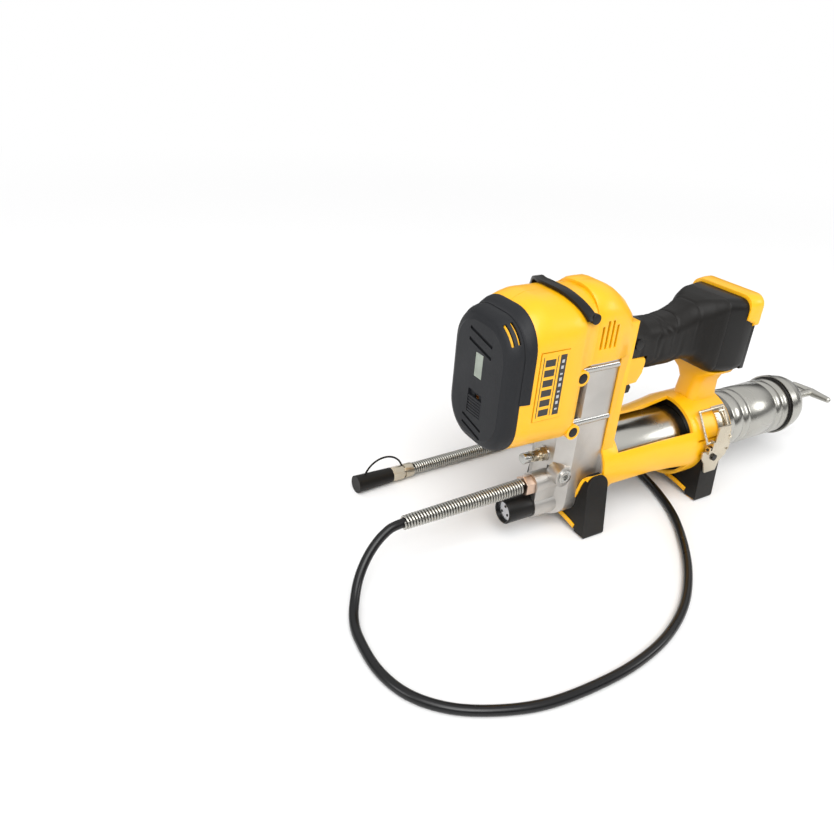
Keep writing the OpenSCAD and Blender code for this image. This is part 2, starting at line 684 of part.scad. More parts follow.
function grip_x(share) = grip_rear + share * (grip_front - grip_rear);
grip_sections = [
    [grip_rear + 0.1, 28, grip_low - 10, base_top, 10, 10],
    [grip_x(0.113), grip_hw + 7.5, grip_low - 4, grip_high + 13.5, 14, 13],
    [grip_x(0.217), grip_hw + 2.5, grip_low + 2, grip_high + 10.5, 14, 15],
    [grip_x(0.321), grip_hw + 0.5, grip_low + 2, grip_high + 6, 14, 15],
    [grip_x(0.453), grip_hw, grip_low, grip_high + 2, 14, 15],
    [grip_x(0.623), grip_hw, grip_low, grip_high, 14, 15],
    [grip_front - 27, grip_hw, grip_low + 1.5, grip_high + 0.5, 13, 15],
    [grip_front - 16, grip_hw + 0.5, grip_low + 5, grip_high + 4, 13, 15],
    [grip_front + 3.8, grip_hw + 2, grip_low + 12, grip_high + 10, 13, 16]];
module handle_grip() {
    placed() color(rubber_black) difference() {
        lofted(grip_sections);
        handle_core(fit);
        block([trigger_x - 25, -trigger_w / 2 - gap, grip_low - 19.5],
            [trigger_x + 11, trigger_w / 2 + gap, grip_low + 20.5]);
        yprism(-40, 40) polygon([[trigger_x + 15, grip_low - 19.5], [trigger_x + 15, grip_low + 17.7],
            [trigger_x - 17, grip_low + 17.7], [trigger_x - 17.5, grip_low + 0.5],
            [trigger_x - 12, grip_low - 19.5]]);
        ycyl(-40, 40, lock_d / 2 + gap, lock_x, lock_z);
    }
}
module trigger() {
    placed() color(plastic_black) yprism(-trigger_w / 2, trigger_w / 2) polygon(concat(
        [[trigger_x - 0.5, grip_low - 20], [trigger_x, grip_low + 18.5], [trigger_x - 17, grip_low + 18.5]],
        arc(trigger_x - 22.5, grip_low - 3.5, 14, 60, -50, 6), [[trigger_x - 12, grip_low - 19.7]]));
}
module switch_module() {
    placed() color(plastic_black) {
        block([trigger_x - 36, -9, grip_low + 25.1], [trigger_x - 9, 9, grip_high - 8]);
        block([trigger_x - 18, -4, grip_low + 24.1], [trigger_x - 11, 4, grip_low + 25.5]);
    }
}
// Two insulated leads from the battery terminals over the switch to the motor.
module power_leads() {
    lead_r = 1.2;
    low_z = grip_low + 23.5;
    mid_z = core_high - 3.3;
    top_z = motor_z + fan_d / 2 + 5;
    end_z = min(top_z, motor_z + motor_d / 2) - 5;
    rise_x = [trigger_x - 42, head_side_rear - 5];
    end_x = motor_x - lead_r - 0.3;
    placed() color("#8c2f24") for (y = [-3, 3]) {
        xcyl(base_rear + 18, rise_x[0], lead_r, y, low_z, 24);
        zcyl(low_z, mid_z, lead_r, rise_x[0], y, 24);
        xcyl(rise_x[0], rise_x[1], lead_r, y, mid_z, 24);
        zcyl(mid_z, top_z, lead_r, rise_x[1], y, 24);
        xcyl(rise_x[1], end_x, lead_r, y, top_z, 24);
        zcyl(end_z, top_z, lead_r, end_x, y, 24);
        xcyl(end_x, motor_x, lead_r, y, end_z, 24);
        for (p = [[rise_x[0], low_z], [rise_x[0], mid_z], [rise_x[1], mid_z], [rise_x[1], top_z],
            [end_x, top_z], [end_x, end_z]]) translate([p[0], y, p[1]]) sphere(r = lead_r, $fn = 24);
    }
}
module lock_button() {
    placed() color(plastic_black) ycyl(-grip_hw - 3.5, grip_hw + 3.5, lock_d / 2, lock_x, lock_z);
}
base_sections = [
    [base_rear, 33, base_low, base_top, 9, 10],
    [base_rear + 10, 32, base_low - 1.5, base_top, 9, 10],
    [grip_rear, 28, base_low - 0.5, base_top, 9, 10]];
bay_low = base_low + 6;
bay_high = base_top - 8.5;
module battery_base() {
    placed() color(plastic_black) difference() {
        lofted(base_sections);
        block([base_rear - 1, -23, bay_low], [base_rear + 18, 23, bay_high]);
        xcyl(base_rear, grip_rear + 1, 7, 0, grip_low + 23.5);
    }
}
rim_out = 34.5;
rim_low = base_top - 24.5;
module base_rim() {
    placed() color(yellow) difference() {
        lofted([for (x = [base_rear - 6, base_rear - 0.1]) [x, rim_out, rim_low, base_top + 3.5, 3, 10]]);
        block([base_rear - 7, -29, rim_low - 4], [base_rear + 1, 29, bay_high + 3]);
    }
    placed() color(yellow) difference() {
        lofted([[base_rear - 0.1, rim_out, rim_low + 2, base_top + 3.5, 3, 10],
            [base_rear + 9, rim_out - 1, rim_low + 6, base_top + 3, 3, 10]]);
        lofted(base_sections, -0.05);
        block([base_rear - 7, -29, rim_low - 4], [base_rear + 1, 29, bay_high + 3]);
    }
}
module battery_rails() {
    placed() color(plastic_black) for (s = [0, 1]) mirror([0, s, 0]) {
        block([base_rear - 5.5, 26, base_low + 2], [base_rear - 0.1, 32, rim_low - 0.5]);
        block([base_rear - 5.5, 22, base_low + 2], [base_rear - 3, 26, rim_low - 0.5]);
    }
}
module terminal_block() {
    placed() {
        color("#46403a") block([base_rear + 10, -17, bay_low + 6], [base_rear + 17.9, 17, bay_high - 12]);
        color(copper) for (i = [-2:2])
            block([base_rear + 1, 6 * i - 0.5, bay_low + 14], [base_rear + 10.5, 6 * i + 0.5, bay_high - 18]);
    }
}

// ---- barrel jacket and feet --------------------------------------------------------------------

// Pillar under the battery base: height, rear and front face behind the grip's end, half width.
pillar_rings = [for (p = [[axis_z + 31, -37, 2, 14], [axis_z + 43, -36, 1, 12.5],
        [base_low - 18, -35.5, -1, 12.5], [base_low - 10, -35, 0, 16],
        [base_low - 4, -34, 0, 25], [base_low - 0.8, -33, 0, 27]])
    [for (q = section((p[2] - p[1]) / 2, -p[3], p[3], min(8, p[3] - 1), min(8, p[3] - 1), 4))
        [grip_rear + (p[1] + p[2]) / 2 + q[0], q[1], p[0]]]];
module barrel_jacket() {
    placed() color(yellow) difference() {
        union() {
            turned() polygon([[ring_rear, liner_r + 0.05], [ring_rear, ring_r - 1], [ring_rear + 1, ring_r],
                [window_rear - 2, ring_r], [window_rear + 20, jacket_r + 2.2], [window_rear + 44, jacket_r],
                [jacket_front, jacket_r], [jacket_front, jacket_r - jacket_wall],
                [window_rear + 30, jacket_r - jacket_wall], [window_rear, liner_r + 0.05]]);
            difference() {
                skin(pillar_rings);
                xcyl(0, barrel_len, liner_r + 0.05, 0, axis_z);
            }
        }
        // side window, and the open underside between the two beams
        sector(window_rear, head_rear - 2, 60, window_low, window_high);
        sector(window_rear, head_rear + 1, 60, 202, 338, 12);
        // slit that the latch closes
        block([ring_rear - 1, 20, axis_z + 9], [ring_rear + 46, ring_r + 10, axis_z + 11]);
        lofted(base_sections, -0.05);
    }
}
module jacket_liner() {
    placed() color(plastic_black) turned() polygon([[ring_rear + 2, barrel_r + gap], [ring_rear + 2, liner_r],
        [ring_rear + liner_len, liner_r], [ring_rear + liner_len, barrel_r + gap]]);
}

// Foot under the jacket's ring, in Y and Z: outer slab, arched underside and the ring's hollow.
// Arched underside between the two strips that a foot stands on.
foot_arch = concat([[foot_hw - 12, 0]],
    [for (i = [0:8]) let (t = 1 - i / 4) [(foot_hw - 13) * t, 4.5 + 4 * (1 - t * t)]], [[12 - foot_hw, 0]]);
rear_top_y = ring_r + 1.4;
rear_top_z = axis_z + 1;
module rear_foot_outline() {
    difference() {
        polygon(concat([[-foot_hw + 2, 0], [-foot_hw, 1.5], [-rear_top_y, rear_top_z]],
            [[rear_top_y, rear_top_z], [foot_hw, 1.5], [foot_hw - 2, 0]], foot_arch));
        translate([0, axis_z]) circle(r = ring_r + 0.05, $fn = 72);
        translate([-rear_top_y + 9, axis_z - 20]) square([2 * (rear_top_y - 9), 80]);
    }
}
front_top_y = head_hw + 11;
front_foot_top = [[front_top_y, axis_z - 1], [front_top_y - 3, axis_z + 2.5], [front_top_y - 6, axis_z + 1]];
// Foot under the pump head: the head's rounded underside stands in its hollow.
module front_foot_outline(grow = 0) {
    difference() {
        polygon(concat([[-foot_hw + 2, 0], [-foot_hw, 1.5]], [for (p = front_foot_top) [-p[0], p[1]]],
            [for (i = [0:12]) let (t = i / 6 - 1)
                [(head_hw + 3 + grow) * t, head_low - 1.2 - grow + (axis_z - head_low) * pow(abs(t), 3.2)]],
            [for (i = [2:-1:0]) front_foot_top[i]], [[foot_hw, 1.5], [foot_hw - 2, 0]], foot_arch));
        polygon(section(head_hw + 0.1, head_low - 0.1, 200, 15, 2));
    }
}
module front_stand_shape() {
    xprism(front_foot_x + 2, front_foot_x + foot_len - 2) difference() {
        front_foot_outline();
        for (s = [0, 1]) mirror([s, 0]) polygon([[foot_hw - foot_rubber, -1], [foot_hw + 13, -1],
            [foot_hw + 13, axis_z + 13], [front_top_y - foot_rubber, axis_z + 13],
            [front_top_y - foot_rubber, axis_z]]);
    }
}
module front_stand() {
    placed() color(yellow) difference() {
        front_stand_shape();
        xcyl(head_rear - 7, head_side_rear + 1.1, jacket_r + 0.1, 0, axis_z);
    }
}
module front_foot_pads() {
    placed() color(rubber_black) difference() {
        xprism(front_foot_x, front_foot_x + foot_len) difference() {
            front_foot_outline(1.6);
            translate([-30, -1]) square([60, 8.5]);
        }
        front_stand_shape();
        xcyl(head_rear - 7, head_side_rear + 1.1, jacket_r + 0.1, 0, axis_z);
    }
}
module rear_stand_shape() {
    xprism(rear_foot_x + 2, rear_foot_x + foot_len - 2) difference() {
        rear_foot_outline();
        for (s = [0, 1]) mirror([s, 0]) translate([rear_top_y - 0.7, -1]) square([20, 70]);
    }
}
module rear_stand() {
    placed() color(yellow) difference() {
        rear_stand_shape();
        at_plate_screw(ring_r - 0.4, plate_y + 2);
    }
}
module rear_foot_pads() {
    placed() color(rubber_black) difference() {
        xprism(rear_foot_x, rear_foot_x + foot_len) difference() {
            rear_foot_outline();
            translate([-30, -1]) square([60, 8]);
        }
        rear_stand_shape();
        at_plate_screw(ring_r - 0.4, plate_y + 2);
    }
}

// ---- latch -------------------------------------------------------------------------------------

latch_x = ring_rear + 8;
plate_x = [latch_x, latch_x + 35];
plate_low = axis_z - 24;
plate_screw = [latch_x + 18, axis_z - 8];
// Inner face of the latch's base plate, which lies on the rear foot's sloping side.
plate_y = max(foot_hw + (rear_top_y - foot_hw) * (plate_low - 1.5) / (rear_top_z - 1.5), rear_top_y) + 0.25;
lug_x = [latch_x + 4, latch_x + 31];
lever_x = [latch_x + 6.6, latch_x + 28.4];
tongue_x = [latch_x + 10, latch_x + 26];
bail_x = [latch_x + 1.6, latch_x + 33.6];
hook_x = [latch_x + 4.6, latch_x + 12];
pin_a = [plate_y + latch_t + 0.8, axis_z + 3.5];  // lever's hinge pin, in Y and Z
pin_b = [pin_a[0] - 0.2, axis_z + 10.5];      // bail's hinge in the lever
pin_r = 1.2;
bail_len = 30;
bail_r = bail_d / 2;
strap_out = ring_r + 1.4;                     // outside of the steel strap round the ring
// The bail leans so far that its legs just pass the strap.
bail_lean = atan2(pin_b[1] - axis_z, pin_b[0])
    + acos((strap_out + bail_r + 0.48) / norm([pin_b[0], pin_b[1] - axis_z]));

// Hole for the screw that holds the latch's base plate.
module at_plate_screw(y0, y1, r = 1.9 + fit) { ycyl(y0, y1, r, plate_screw[0], plate_screw[1]); }

// Places a module in the bail's own frame: +Z runs from its hinge to its hook bar.
module at_bail() { translate([0, pin_b[0], pin_b[1]]) rotate([bail_lean, 0, 0]) children(); }

module latch_bracket() {
    placed() color(nickel) {
        difference() {
            union() {
                yprism(plate_y, plate_y + latch_t) polygon([
                    [plate_x[0], axis_z + 0.5], [plate_x[0] + 1, axis_z - 8],
                    [latch_x + 8, axis_z - 15], [latch_x + 10, plate_low], [latch_x + 25, plate_low],
                    [latch_x + 29, axis_z - 13], [plate_x[1] - 1, axis_z - 7], [plate_x[1], axis_z + 0.5]]);
                for (x = [lug_x[0], lug_x[1] - latch_t])
                    block([x, plate_y, axis_z - 1], [x + latch_t, pin_a[0] + 2.6, axis_z + 6.4]);
                block([plate_x[0], ring_r + 0.4, axis_z + 1.4],
                    [lug_x[0] + latch_t, plate_y + latch_t, axis_z + 4]);
                // strap round the ring, with the hook that the bail's bar pulls on
                intersection() {
                    ring(latch_x - 5, 17, strap_out, ring_r + 0.05, axis_z);
                    sector(latch_x - 6, latch_x + 20, ring_r + 20, 2.5, 56);
                }
                at_bail() block([hook_x[0], -3.6, bail_len - bail_r - 3.2],
                    [hook_x[1], 3, bail_len - bail_r - 1.2]);
            }
            at_plate_screw(plate_y - 1, plate_y + latch_t + 1);
            xcyl(plate_x[0] - 1, plate_x[1] + 1, pin_r + 0.03, pin_a[0], pin_a[1]);
        }
    }
}
module latch_lever() {
    face_y = pin_a[0] + 1.7;
    placed() color(nickel) difference() {
        union() {
            block([lever_x[0], face_y, axis_z + 3], [lever_x[1], face_y + latch_t, axis_z + 12]);
            block([tongue_x[0], face_y, axis_z + 11], [tongue_x[1], face_y + latch_t, axis_z + 27]);
            for (x = [lever_x[0], lever_x[1] - latch_t])
                block([x, pin_a[0] - 2, axis_z + 1.6], [x + latch_t, face_y + 0.5, axis_z + 12.6]);
        }
        xcyl(latch_x - 12, latch_x + 48, pin_r + fit, pin_a[0], pin_a[1]);
        xcyl(latch_x - 12, latch_x + 48, bail_r + fit, pin_b[0], pin_b[1]);
    }
}
module latch_bail() {
    placed() color(nickel) at_bail() {
        for (x = bail_x) {
            zcyl(0, bail_len, bail_r, x);
            translate([x, 0, 0]) sphere(r = bail_r, $fn = 32);
            translate([x, 0, bail_len]) sphere(r = bail_r, $fn = 32);
        }
        xcyl(bail_x[0], bail_x[1], bail_r, 0, bail_len);
        xcyl(bail_x[0], lever_x[0] + latch_t + 0.6, bail_r);
        xcyl(lever_x[1] - latch_t - 0.6, bail_x[1], bail_r);
    }
}
module latch_pins() {
    placed() color("#3b3a38") {
        xcyl(lug_x[0] - 0.6, lug_x[1] + 0.6, pin_r, pin_a[0], pin_a[1]);
        at_plate_screw(plate_y + latch_t, plate_y + latch_t + 1.6, 3.2);
        at_plate_screw(ring_r - 0.2, plate_y + latch_t, 1.9);
    }
}

// ---- barrel and follower -----------------------------------------------------------------------

module barrel_tube() {
    placed() color(bright_steel) difference() {
        xcyl(0, barrel_len, barrel_r, 0, axis_z, 96);
        xcyl(-1, barrel_len + 1, barrel_r - barrel_wall, 0, axis_z, 96);
    }
}
module o_ring() {
    placed() color(plastic_black) turned() translate([-1.3, barrel_r - 0.2]) circle(r = 1.3, $fn = 24);
}
cap_skirt = 13;                               // cylindrical stretch of the end cap
module end_cap() {
    dome = end_cap_len - cap_skirt;
    hub_r = rod_d / 2 + fit;
    spigot_r = barrel_r - barrel_wall - 0.1;
    placed() color(bright_steel) turned() polygon(concat([[-2.7, hub_r], [8, hub_r], [8, 10],
        [2, 12], [2, spigot_r], [-2.7, spigot_r], [-2.7, barrel_r + 2.5],
        [-7, barrel_r + 2.5], [-8.5, barrel_r + 0.8], [-cap_skirt, barrel_r + 0.8]],
        [for (i = [1:6]) let (a = 15 * i) [-cap_skirt - (dome - 3) * sin(a), 11 + (barrel_r - 10.2) * cos(a)]],
        [[-end_cap_len + 2.5, 9.5], [-end_cap_len, 8], [-end_cap_len, hub_r]]));
}
follower_x = barrel_len - follower_gap;
module follower() {
    seal_r = barrel_r - barrel_wall - 0.1;
    placed() color(plastic_black) turned() polygon([[follower_x - 9, 0], [follower_x - 9, seal_r],
        [follower_x - 7, seal_r - 0.4], [follower_x - 2, seal_r - 0.4], [follower_x, seal_r],
        [follower_x, barrel_r - 5], [follower_x - 4, barrel_r - 8], [follower_x - 4, 0]]);
}
module follower_spring() {
    placed() color(bright_steel) ring(10, follower_x - 20, barrel_r - 6.5, barrel_r - 10.5, axis_z);
}
module follower_rod() {
    bar_x = -end_cap_len - rod_out;
    bar_tip_r = 3.1;
    placed() color(bright_steel) {
        xcyl(bar_x, follower_x - 9, rod_d / 2, 0, axis_z);
        for (s = [0, 1]) mirror([0, s, 0]) translate([bar_x, 0, axis_z]) rotate([-90, 0, 0]) {
            cylinder(h = handle_bar / 2 - bar_tip_r, r1 = bar_r, r2 = bar_tip_r, $fn = 32);
            translate([0, 0, handle_bar / 2 - bar_tip_r]) sphere(r = bar_tip_r, $fn = 32);
        }
    }
}

// ---- hose and coupler --------------------------------------------------------------------------

guard_x = lobe_front + nut_len;
module hose_nut() {
    placed() color(copper) {
        translate([lobe_front, hose_y, hose_z]) rotate([0, 90, 0])
            cylinder(h = nut_len, r = nut_d / 2, $fn = 6);
        xcyl(lobe_front - 11, lobe_front, 5, hose_y, hose_z);
    }
}
far_start = [250, -116.5, 6.3];               // where the hose enters the far spring guard
far_yaw = 3;
far_pitch = 0.7;
hose_path = [[327, 8, 49], [365, 8, 48.2], [405, 8, 47.3], [447, 8, 46.3], [462, 9, 42], [477, 14, 32],
    [490, 23, 20], [500, 36, 10], [507, 50, 5], [511, 68, 3.8], [512, 98, 3.8], [504, 125, 3.8],
    [485, 147, 3.8], [457, 163, 3.8], [425, 173, 3.8], [386, 176, 3.8], [346, 174, 3.8], [306, 165, 3.8],
    [269, 148, 3.8], [237, 124, 3.8], [209, 95, 3.8], [182, 58, 3.8], [165, 22, 3.8], [155, -14, 3.8],
    [153, -48, 3.8], [163, -78, 3.8], [184, -101, 3.8], [212, -113, 4.2], [234, -116.5, 5.5],
    [250, -116.5, 6.3], [309, -113.4, 7], [368, -110.3, 7.7]];

// Smooth curve through the route's points.
function spline(p, i, t) = let (a = p[max(i - 1, 0)], b = p[i], c = p[i + 1], d = p[min(i + 2, len(p) - 1)])
    0.5 * (2 * b + t * (c - a) + t * t * (2 * a - 5 * b + 4 * c - d) + t * t * t * (3 * b - a - 3 * c + d));
function unit(v) = v / norm(v);
hose_ends = len(hose_path) - 1;
hose_line = concat([for (i = [0:hose_ends - 1], t = [0, 0.5]) spline(hose_path, i, t)],
    [hose_path[hose_ends]]);
module swept(line, r, sides) {
    n = len(line) - 1;
    skin([for (i = [0:n])
        let (t = unit(line[min(i + 1, n)] - line[max(i - 1, 0)]), u = unit(cross([0, 0, 1], t)))
        let (w = cross(t, u))
        [for (k = [0:sides - 1]) let (a = 360 * k / sides) line[i] + r * (cos(a) * u + sin(a) * w)]]);
}
module hose() {
    placed() color(plastic_black) difference() {
        swept(hose_line, hose_d / 2, 10);
        block([guard_x - 20, -30, 0], [guard_x, 30, 90]);
        at_far(guard_len) translate([-20, -20, 0]) cube(40);
    }
}

module pump_spring_guard() {
    placed() color(bright_steel) difference() {
        translate([guard_x, hose_y, hose_z]) rotate([0, 90 + guard_droop, 0]) difference() {
            cylinder(h = guard_len, r1 = guard_big_d / 2, r2 = guard_small_d / 2, $fn = 48);
            translate([0, 0, -1]) cylinder(h = guard_len + 2, r = hose_d / 2 + gap, $fn = 48);
        }
        block([guard_x - 5, -30, 20], [guard_x, 30, 80]);
    }
}

// Places a module in the far fittings' frame: +Z runs along the hose towards the coupler's mouth.
module at_far(along = 0) {
    translate(far_start) rotate([0, 90 - far_pitch, far_yaw]) translate([0, 0, along]) children();
}
module far_spring_guard() {
    placed() color(bright_steel) at_far() difference() {
        cylinder(h = guard_len - 0.1, r = guard_small_d / 2, $fn = 48);
        translate([0, 0, -1]) cylinder(h = guard_len + 2, r = hose_d / 2 + gap, $fn = 48);
    }
}
collar_len = 9;
coupler_hex_len = 12;
coupler_cap_len = 38;
mouth = guard_len + collar_len + 2 + coupler_hex_len;
module coupler_body() {
    placed() color(nickel) at_far(guard_len) difference() {
        union() {
            cylinder(h = collar_len, r = 6.8, $fn = 48);
            translate([0, 0, collar_len]) cylinder(h = 2.2, r = 5.6, $fn = 48);
            translate([0, 0, collar_len + 2]) cylinder(h = coupler_hex_len, r = 7.6, $fn = 6);
            translate([0, 0, collar_len + coupler_hex_len]) cylinder(h = 20, r = 5.6, $fn = 48);
        }
        translate([0, 0, collar_len + coupler_hex_len + 8]) cylinder(h = 20, r = 4.2, $fn = 48);
        translate([0, 0, collar_len]) cylinder(h = 20, r = 1.6, $fn = 32);
    }
}
module coupler_jaws() {
    placed() color(bright_steel) at_far(mouth + 9.2) for (i = [0:3]) rotate(90 * i + 45) intersection() {
        difference() {
            cylinder(h = 14, r = 4.1, $fn = 48);
            translate([0, 0, -1]) cylinder(h = 16, r = 2.2, $fn = 48);
        }
        translate([0.6, 0.6, -1]) cube([10, 10, 20]);
    }
}
module coupler_cap() {
    placed() color(rubber_black) at_far(mouth + 0.1) difference() {
        cylinder(h = coupler_cap_len, r1 = 7, r2 = 8.3, $fn = 48);
        translate([0, 0, -1]) cylinder(h = coupler_cap_len - 3, r = 5.6 + gap, $fn = 48);
    }
}
module cap_tether() {
    tether_start = guard_len + collar_len + 1;
    tether_r = (mouth + 30 - tether_start) / 2;
    placed() color(rubber_black) difference() {
        at_far(tether_start + tether_r) rotate([90, 0, 0]) rotate([0, 0, 90])
            rotate_extrude(angle = 180, $fn = 64) translate([tether_r, 0]) circle(r = 0.9, $fn = 16);
        at_far(guard_len) cylinder(h = collar_len + 20, r = 5.6, $fn = 48);
        at_far(guard_len + collar_len + 2) cylinder(h = 20, r = 7.7, $fn = 48);
        at_far(mouth) cylinder(h = coupler_cap_len, r = 8.4, $fn = 48);
    }
}

motor_housing_left();
motor_housing_right();
frame_left();
frame_right();
motor_end_cap();
cap_window();
speed_slider();
label_plate();
case_screws();
strap_loop();
strap_screws();
pump_head();
gear_cover();
head_plug();
motor_can();
rotor();
fan();
motor_bearings();
idler_gear();
crank_gear();
gear_bushings();
plunger();
outlet_valve();
bleeder_body();
bleeder_button();
lamp_body();
lamp_lens();
handle_grip();
trigger();
switch_module();
power_leads();
lock_button();
battery_base();
base_rim();
battery_rails();
terminal_block();
barrel_jacket();
jacket_liner();
front_stand();
front_foot_pads();
rear_stand();
rear_foot_pads();
latch_bracket();
latch_lever();
latch_bail();
latch_pins();
barrel_tube();
o_ring();
end_cap();
follower();
follower_spring();
follower_rod();
hose_nut();
pump_spring_guard();
hose();
far_spring_guard();
coupler_body();
coupler_jaws();
coupler_cap();
cap_tether();
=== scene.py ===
"""Looks of the cordless grease gun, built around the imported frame."""
import json
import math
import bmesh
import bpy
from mathutils import Matrix, Vector


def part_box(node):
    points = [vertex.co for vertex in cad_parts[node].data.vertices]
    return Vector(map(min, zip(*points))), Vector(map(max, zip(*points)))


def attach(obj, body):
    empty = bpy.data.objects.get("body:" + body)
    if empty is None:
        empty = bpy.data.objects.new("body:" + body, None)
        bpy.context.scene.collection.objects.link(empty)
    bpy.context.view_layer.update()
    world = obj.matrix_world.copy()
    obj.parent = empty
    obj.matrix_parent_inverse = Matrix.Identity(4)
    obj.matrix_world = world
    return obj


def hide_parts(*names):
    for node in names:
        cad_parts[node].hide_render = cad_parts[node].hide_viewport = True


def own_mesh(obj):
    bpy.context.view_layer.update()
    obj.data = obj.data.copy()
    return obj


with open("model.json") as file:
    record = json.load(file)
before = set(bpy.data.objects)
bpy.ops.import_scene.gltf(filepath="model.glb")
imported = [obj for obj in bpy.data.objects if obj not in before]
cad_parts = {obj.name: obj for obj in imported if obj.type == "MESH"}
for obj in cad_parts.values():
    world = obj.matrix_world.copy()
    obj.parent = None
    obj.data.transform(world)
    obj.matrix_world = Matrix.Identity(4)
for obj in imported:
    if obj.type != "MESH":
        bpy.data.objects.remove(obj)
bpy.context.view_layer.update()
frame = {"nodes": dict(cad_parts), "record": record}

MM = 0.001
BARREL_LO, BARREL_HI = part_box("barrel_tube")
REAR_X = BARREL_LO.x / MM                      # the barrel's rear rim, from which lengths are counted
AXIS_Z = (BARREL_LO.z + BARREL_HI.z) / 2 / MM  # height of the barrel's axis
BODY_OF = {n: b for b, ns in frame["record"]["behaviour"]["bodies"].items() for n in ns}
SLOT_OF = {s["node"]: s["material_slot"] for s in frame["record"]["subparts"]}


def at(x, y, z):
    """A point in metres, from millimetres counted forward from the barrel's rear rim."""
    return Vector(((x + REAR_X) * MM, y * MM, z * MM))


# ---- camera ----------------------------------------------------------------------------------
def add_camera(place, azimuth, elevation, roll, lens):
    """Camera at a place, turned by angles in degrees."""
    a, e = math.radians(azimuth), math.radians(elevation)
    back = Vector((math.sin(a) * math.cos(e), -math.cos(a) * math.cos(e), math.sin(e)))
    right = (-back).cross(Vector((0, 0, 1))).normalized()
    up = back.cross(right)
    turn = Matrix((right, up, back)).transposed().to_4x4() @ Matrix.Rotation(math.radians(roll), 4, "Z")
    data = bpy.data.cameras.new("camera")
    data.lens = lens
    data.sensor_width = 36
    camera = bpy.data.objects.new("camera", data)
    camera.matrix_world = Matrix.Translation(place) @ turn
    bpy.context.scene.collection.objects.link(camera)
    bpy.context.scene.camera = camera


add_camera(at(697.96, 417.82, 399.91), 147.79, 28.23, 4.34, 32.53)

# ---- hose route ------------------------------------------------------------------------------
HOSE_PATH = [
    (327, 8, 49), (365, 8, 48.2), (405, 8, 47.3), (447, 8, 46.3), (462, 9, 42), (477, 14, 32),
    (490, 23, 20), (500, 36, 10), (507, 50, 5), (511, 68, 3.8), (512, 98, 3.8), (504, 125, 3.8),
    (485, 147, 3.8), (457, 163, 3.8), (425, 173, 3.8), (386, 176, 3.8), (346, 174, 3.8),
    (306, 165, 3.8), (269, 148, 3.8), (237, 124, 3.8), (209, 95, 3.8), (182, 58, 3.8),
    (165, 22, 3.8), (155, -14, 3.8), (153, -48, 3.8), (163, -78, 3.8), (184, -101, 3.8),
    (212, -113, 4.2), (234, -116.5, 5.5), (250, -116.5, 6.3), (309, -113.4, 7), (367, -110.35, 7.7)]
HOSE_D = 7.6


def smooth_route(points, per_span):
    """Catmull-Rom curve through the route's points."""
    route = []
    last = len(points) - 1
    for i in range(last):
        a, b, c, d = (Vector(points[k]) for k in (max(i - 1, 0), i, i + 1, min(i + 2, last)))
        for s in range(per_span):
            t = s / per_span
            route.append(0.5 * (2 * b + t * (c - a) + t * t * (2 * a - 5 * b + 4 * c - d)
                                + t ** 3 * (3 * b - a - 3 * c + d)))
    return route + [Vector(points[last])]


# ---- materials -------------------------------------------------------------------------------
def new_group(name, inputs, outputs):
    """Empty node group with its sockets."""
    group = bpy.data.node_groups.new(name, "ShaderNodeTree")
    for label, kind, value in inputs:
        socket = group.interface.new_socket(label, in_out="INPUT", socket_type=kind)
        socket.default_value = value
    for label, kind in outputs:
        group.interface.new_socket(label, in_out="OUTPUT", socket_type=kind)
    return group, group.nodes.new("NodeGroupInput"), group.nodes.new("NodeGroupOutput")


def moulded_group():
    """Fine grain with slow drifts of tone: mask, height and a tinted colour."""
    group, inside, outside = new_group(
        "moulded surface",
        [("Color", "NodeSocketColor", (0.5, 0.5, 0.5, 1)), ("Grain", "NodeSocketFloat", 900.0),
         ("Drift", "NodeSocketFloat", 18.0), ("Tone", "NodeSocketFloat", 0.12)],
        [("Color", "NodeSocketColor"), ("Height", "NodeSocketFloat"), ("Patches", "NodeSocketFloat")])
    nodes, links = group.nodes, group.links
    place = nodes.new("ShaderNodeTexCoord")
    grain = nodes.new("ShaderNodeTexNoise")
    grain.inputs["Detail"].default_value = 3
    drift = nodes.new("ShaderNodeTexNoise")
    drift.inputs["Detail"].default_value = 5
    for noise, scale in ((grain, "Grain"), (drift, "Drift")):
        links.new(place.outputs["Object"], noise.inputs["Vector"])
        links.new(inside.outputs[scale], noise.inputs["Scale"])
    shade = nodes.new("ShaderNodeMapRange")
    shade.inputs["From Min"].default_value = 0.3
    shade.inputs["From Max"].default_value = 0.7
    links.new(drift.outputs["Fac"], shade.inputs["Value"])
    dark = nodes.new("ShaderNodeMath")
    dark.operation = "MULTIPLY"
    links.new(shade.outputs["Result"], dark.inputs[0])
    links.new(inside.outputs["Tone"], dark.inputs[1])
    mix = nodes.new("ShaderNodeMix")
    mix.data_type = "RGBA"
    mix.inputs["B"].default_value = (0, 0, 0, 1)
    links.new(dark.outputs[0], mix.inputs["Factor"])
    links.new(inside.outputs["Color"], mix.inputs["A"])
    links.new(mix.outputs["Result"], outside.inputs["Color"])
    links.new(grain.outputs["Fac"], outside.inputs["Height"])
    links.new(shade.outputs["Result"], outside.inputs["Patches"])
    return group


MOULDED = moulded_group()


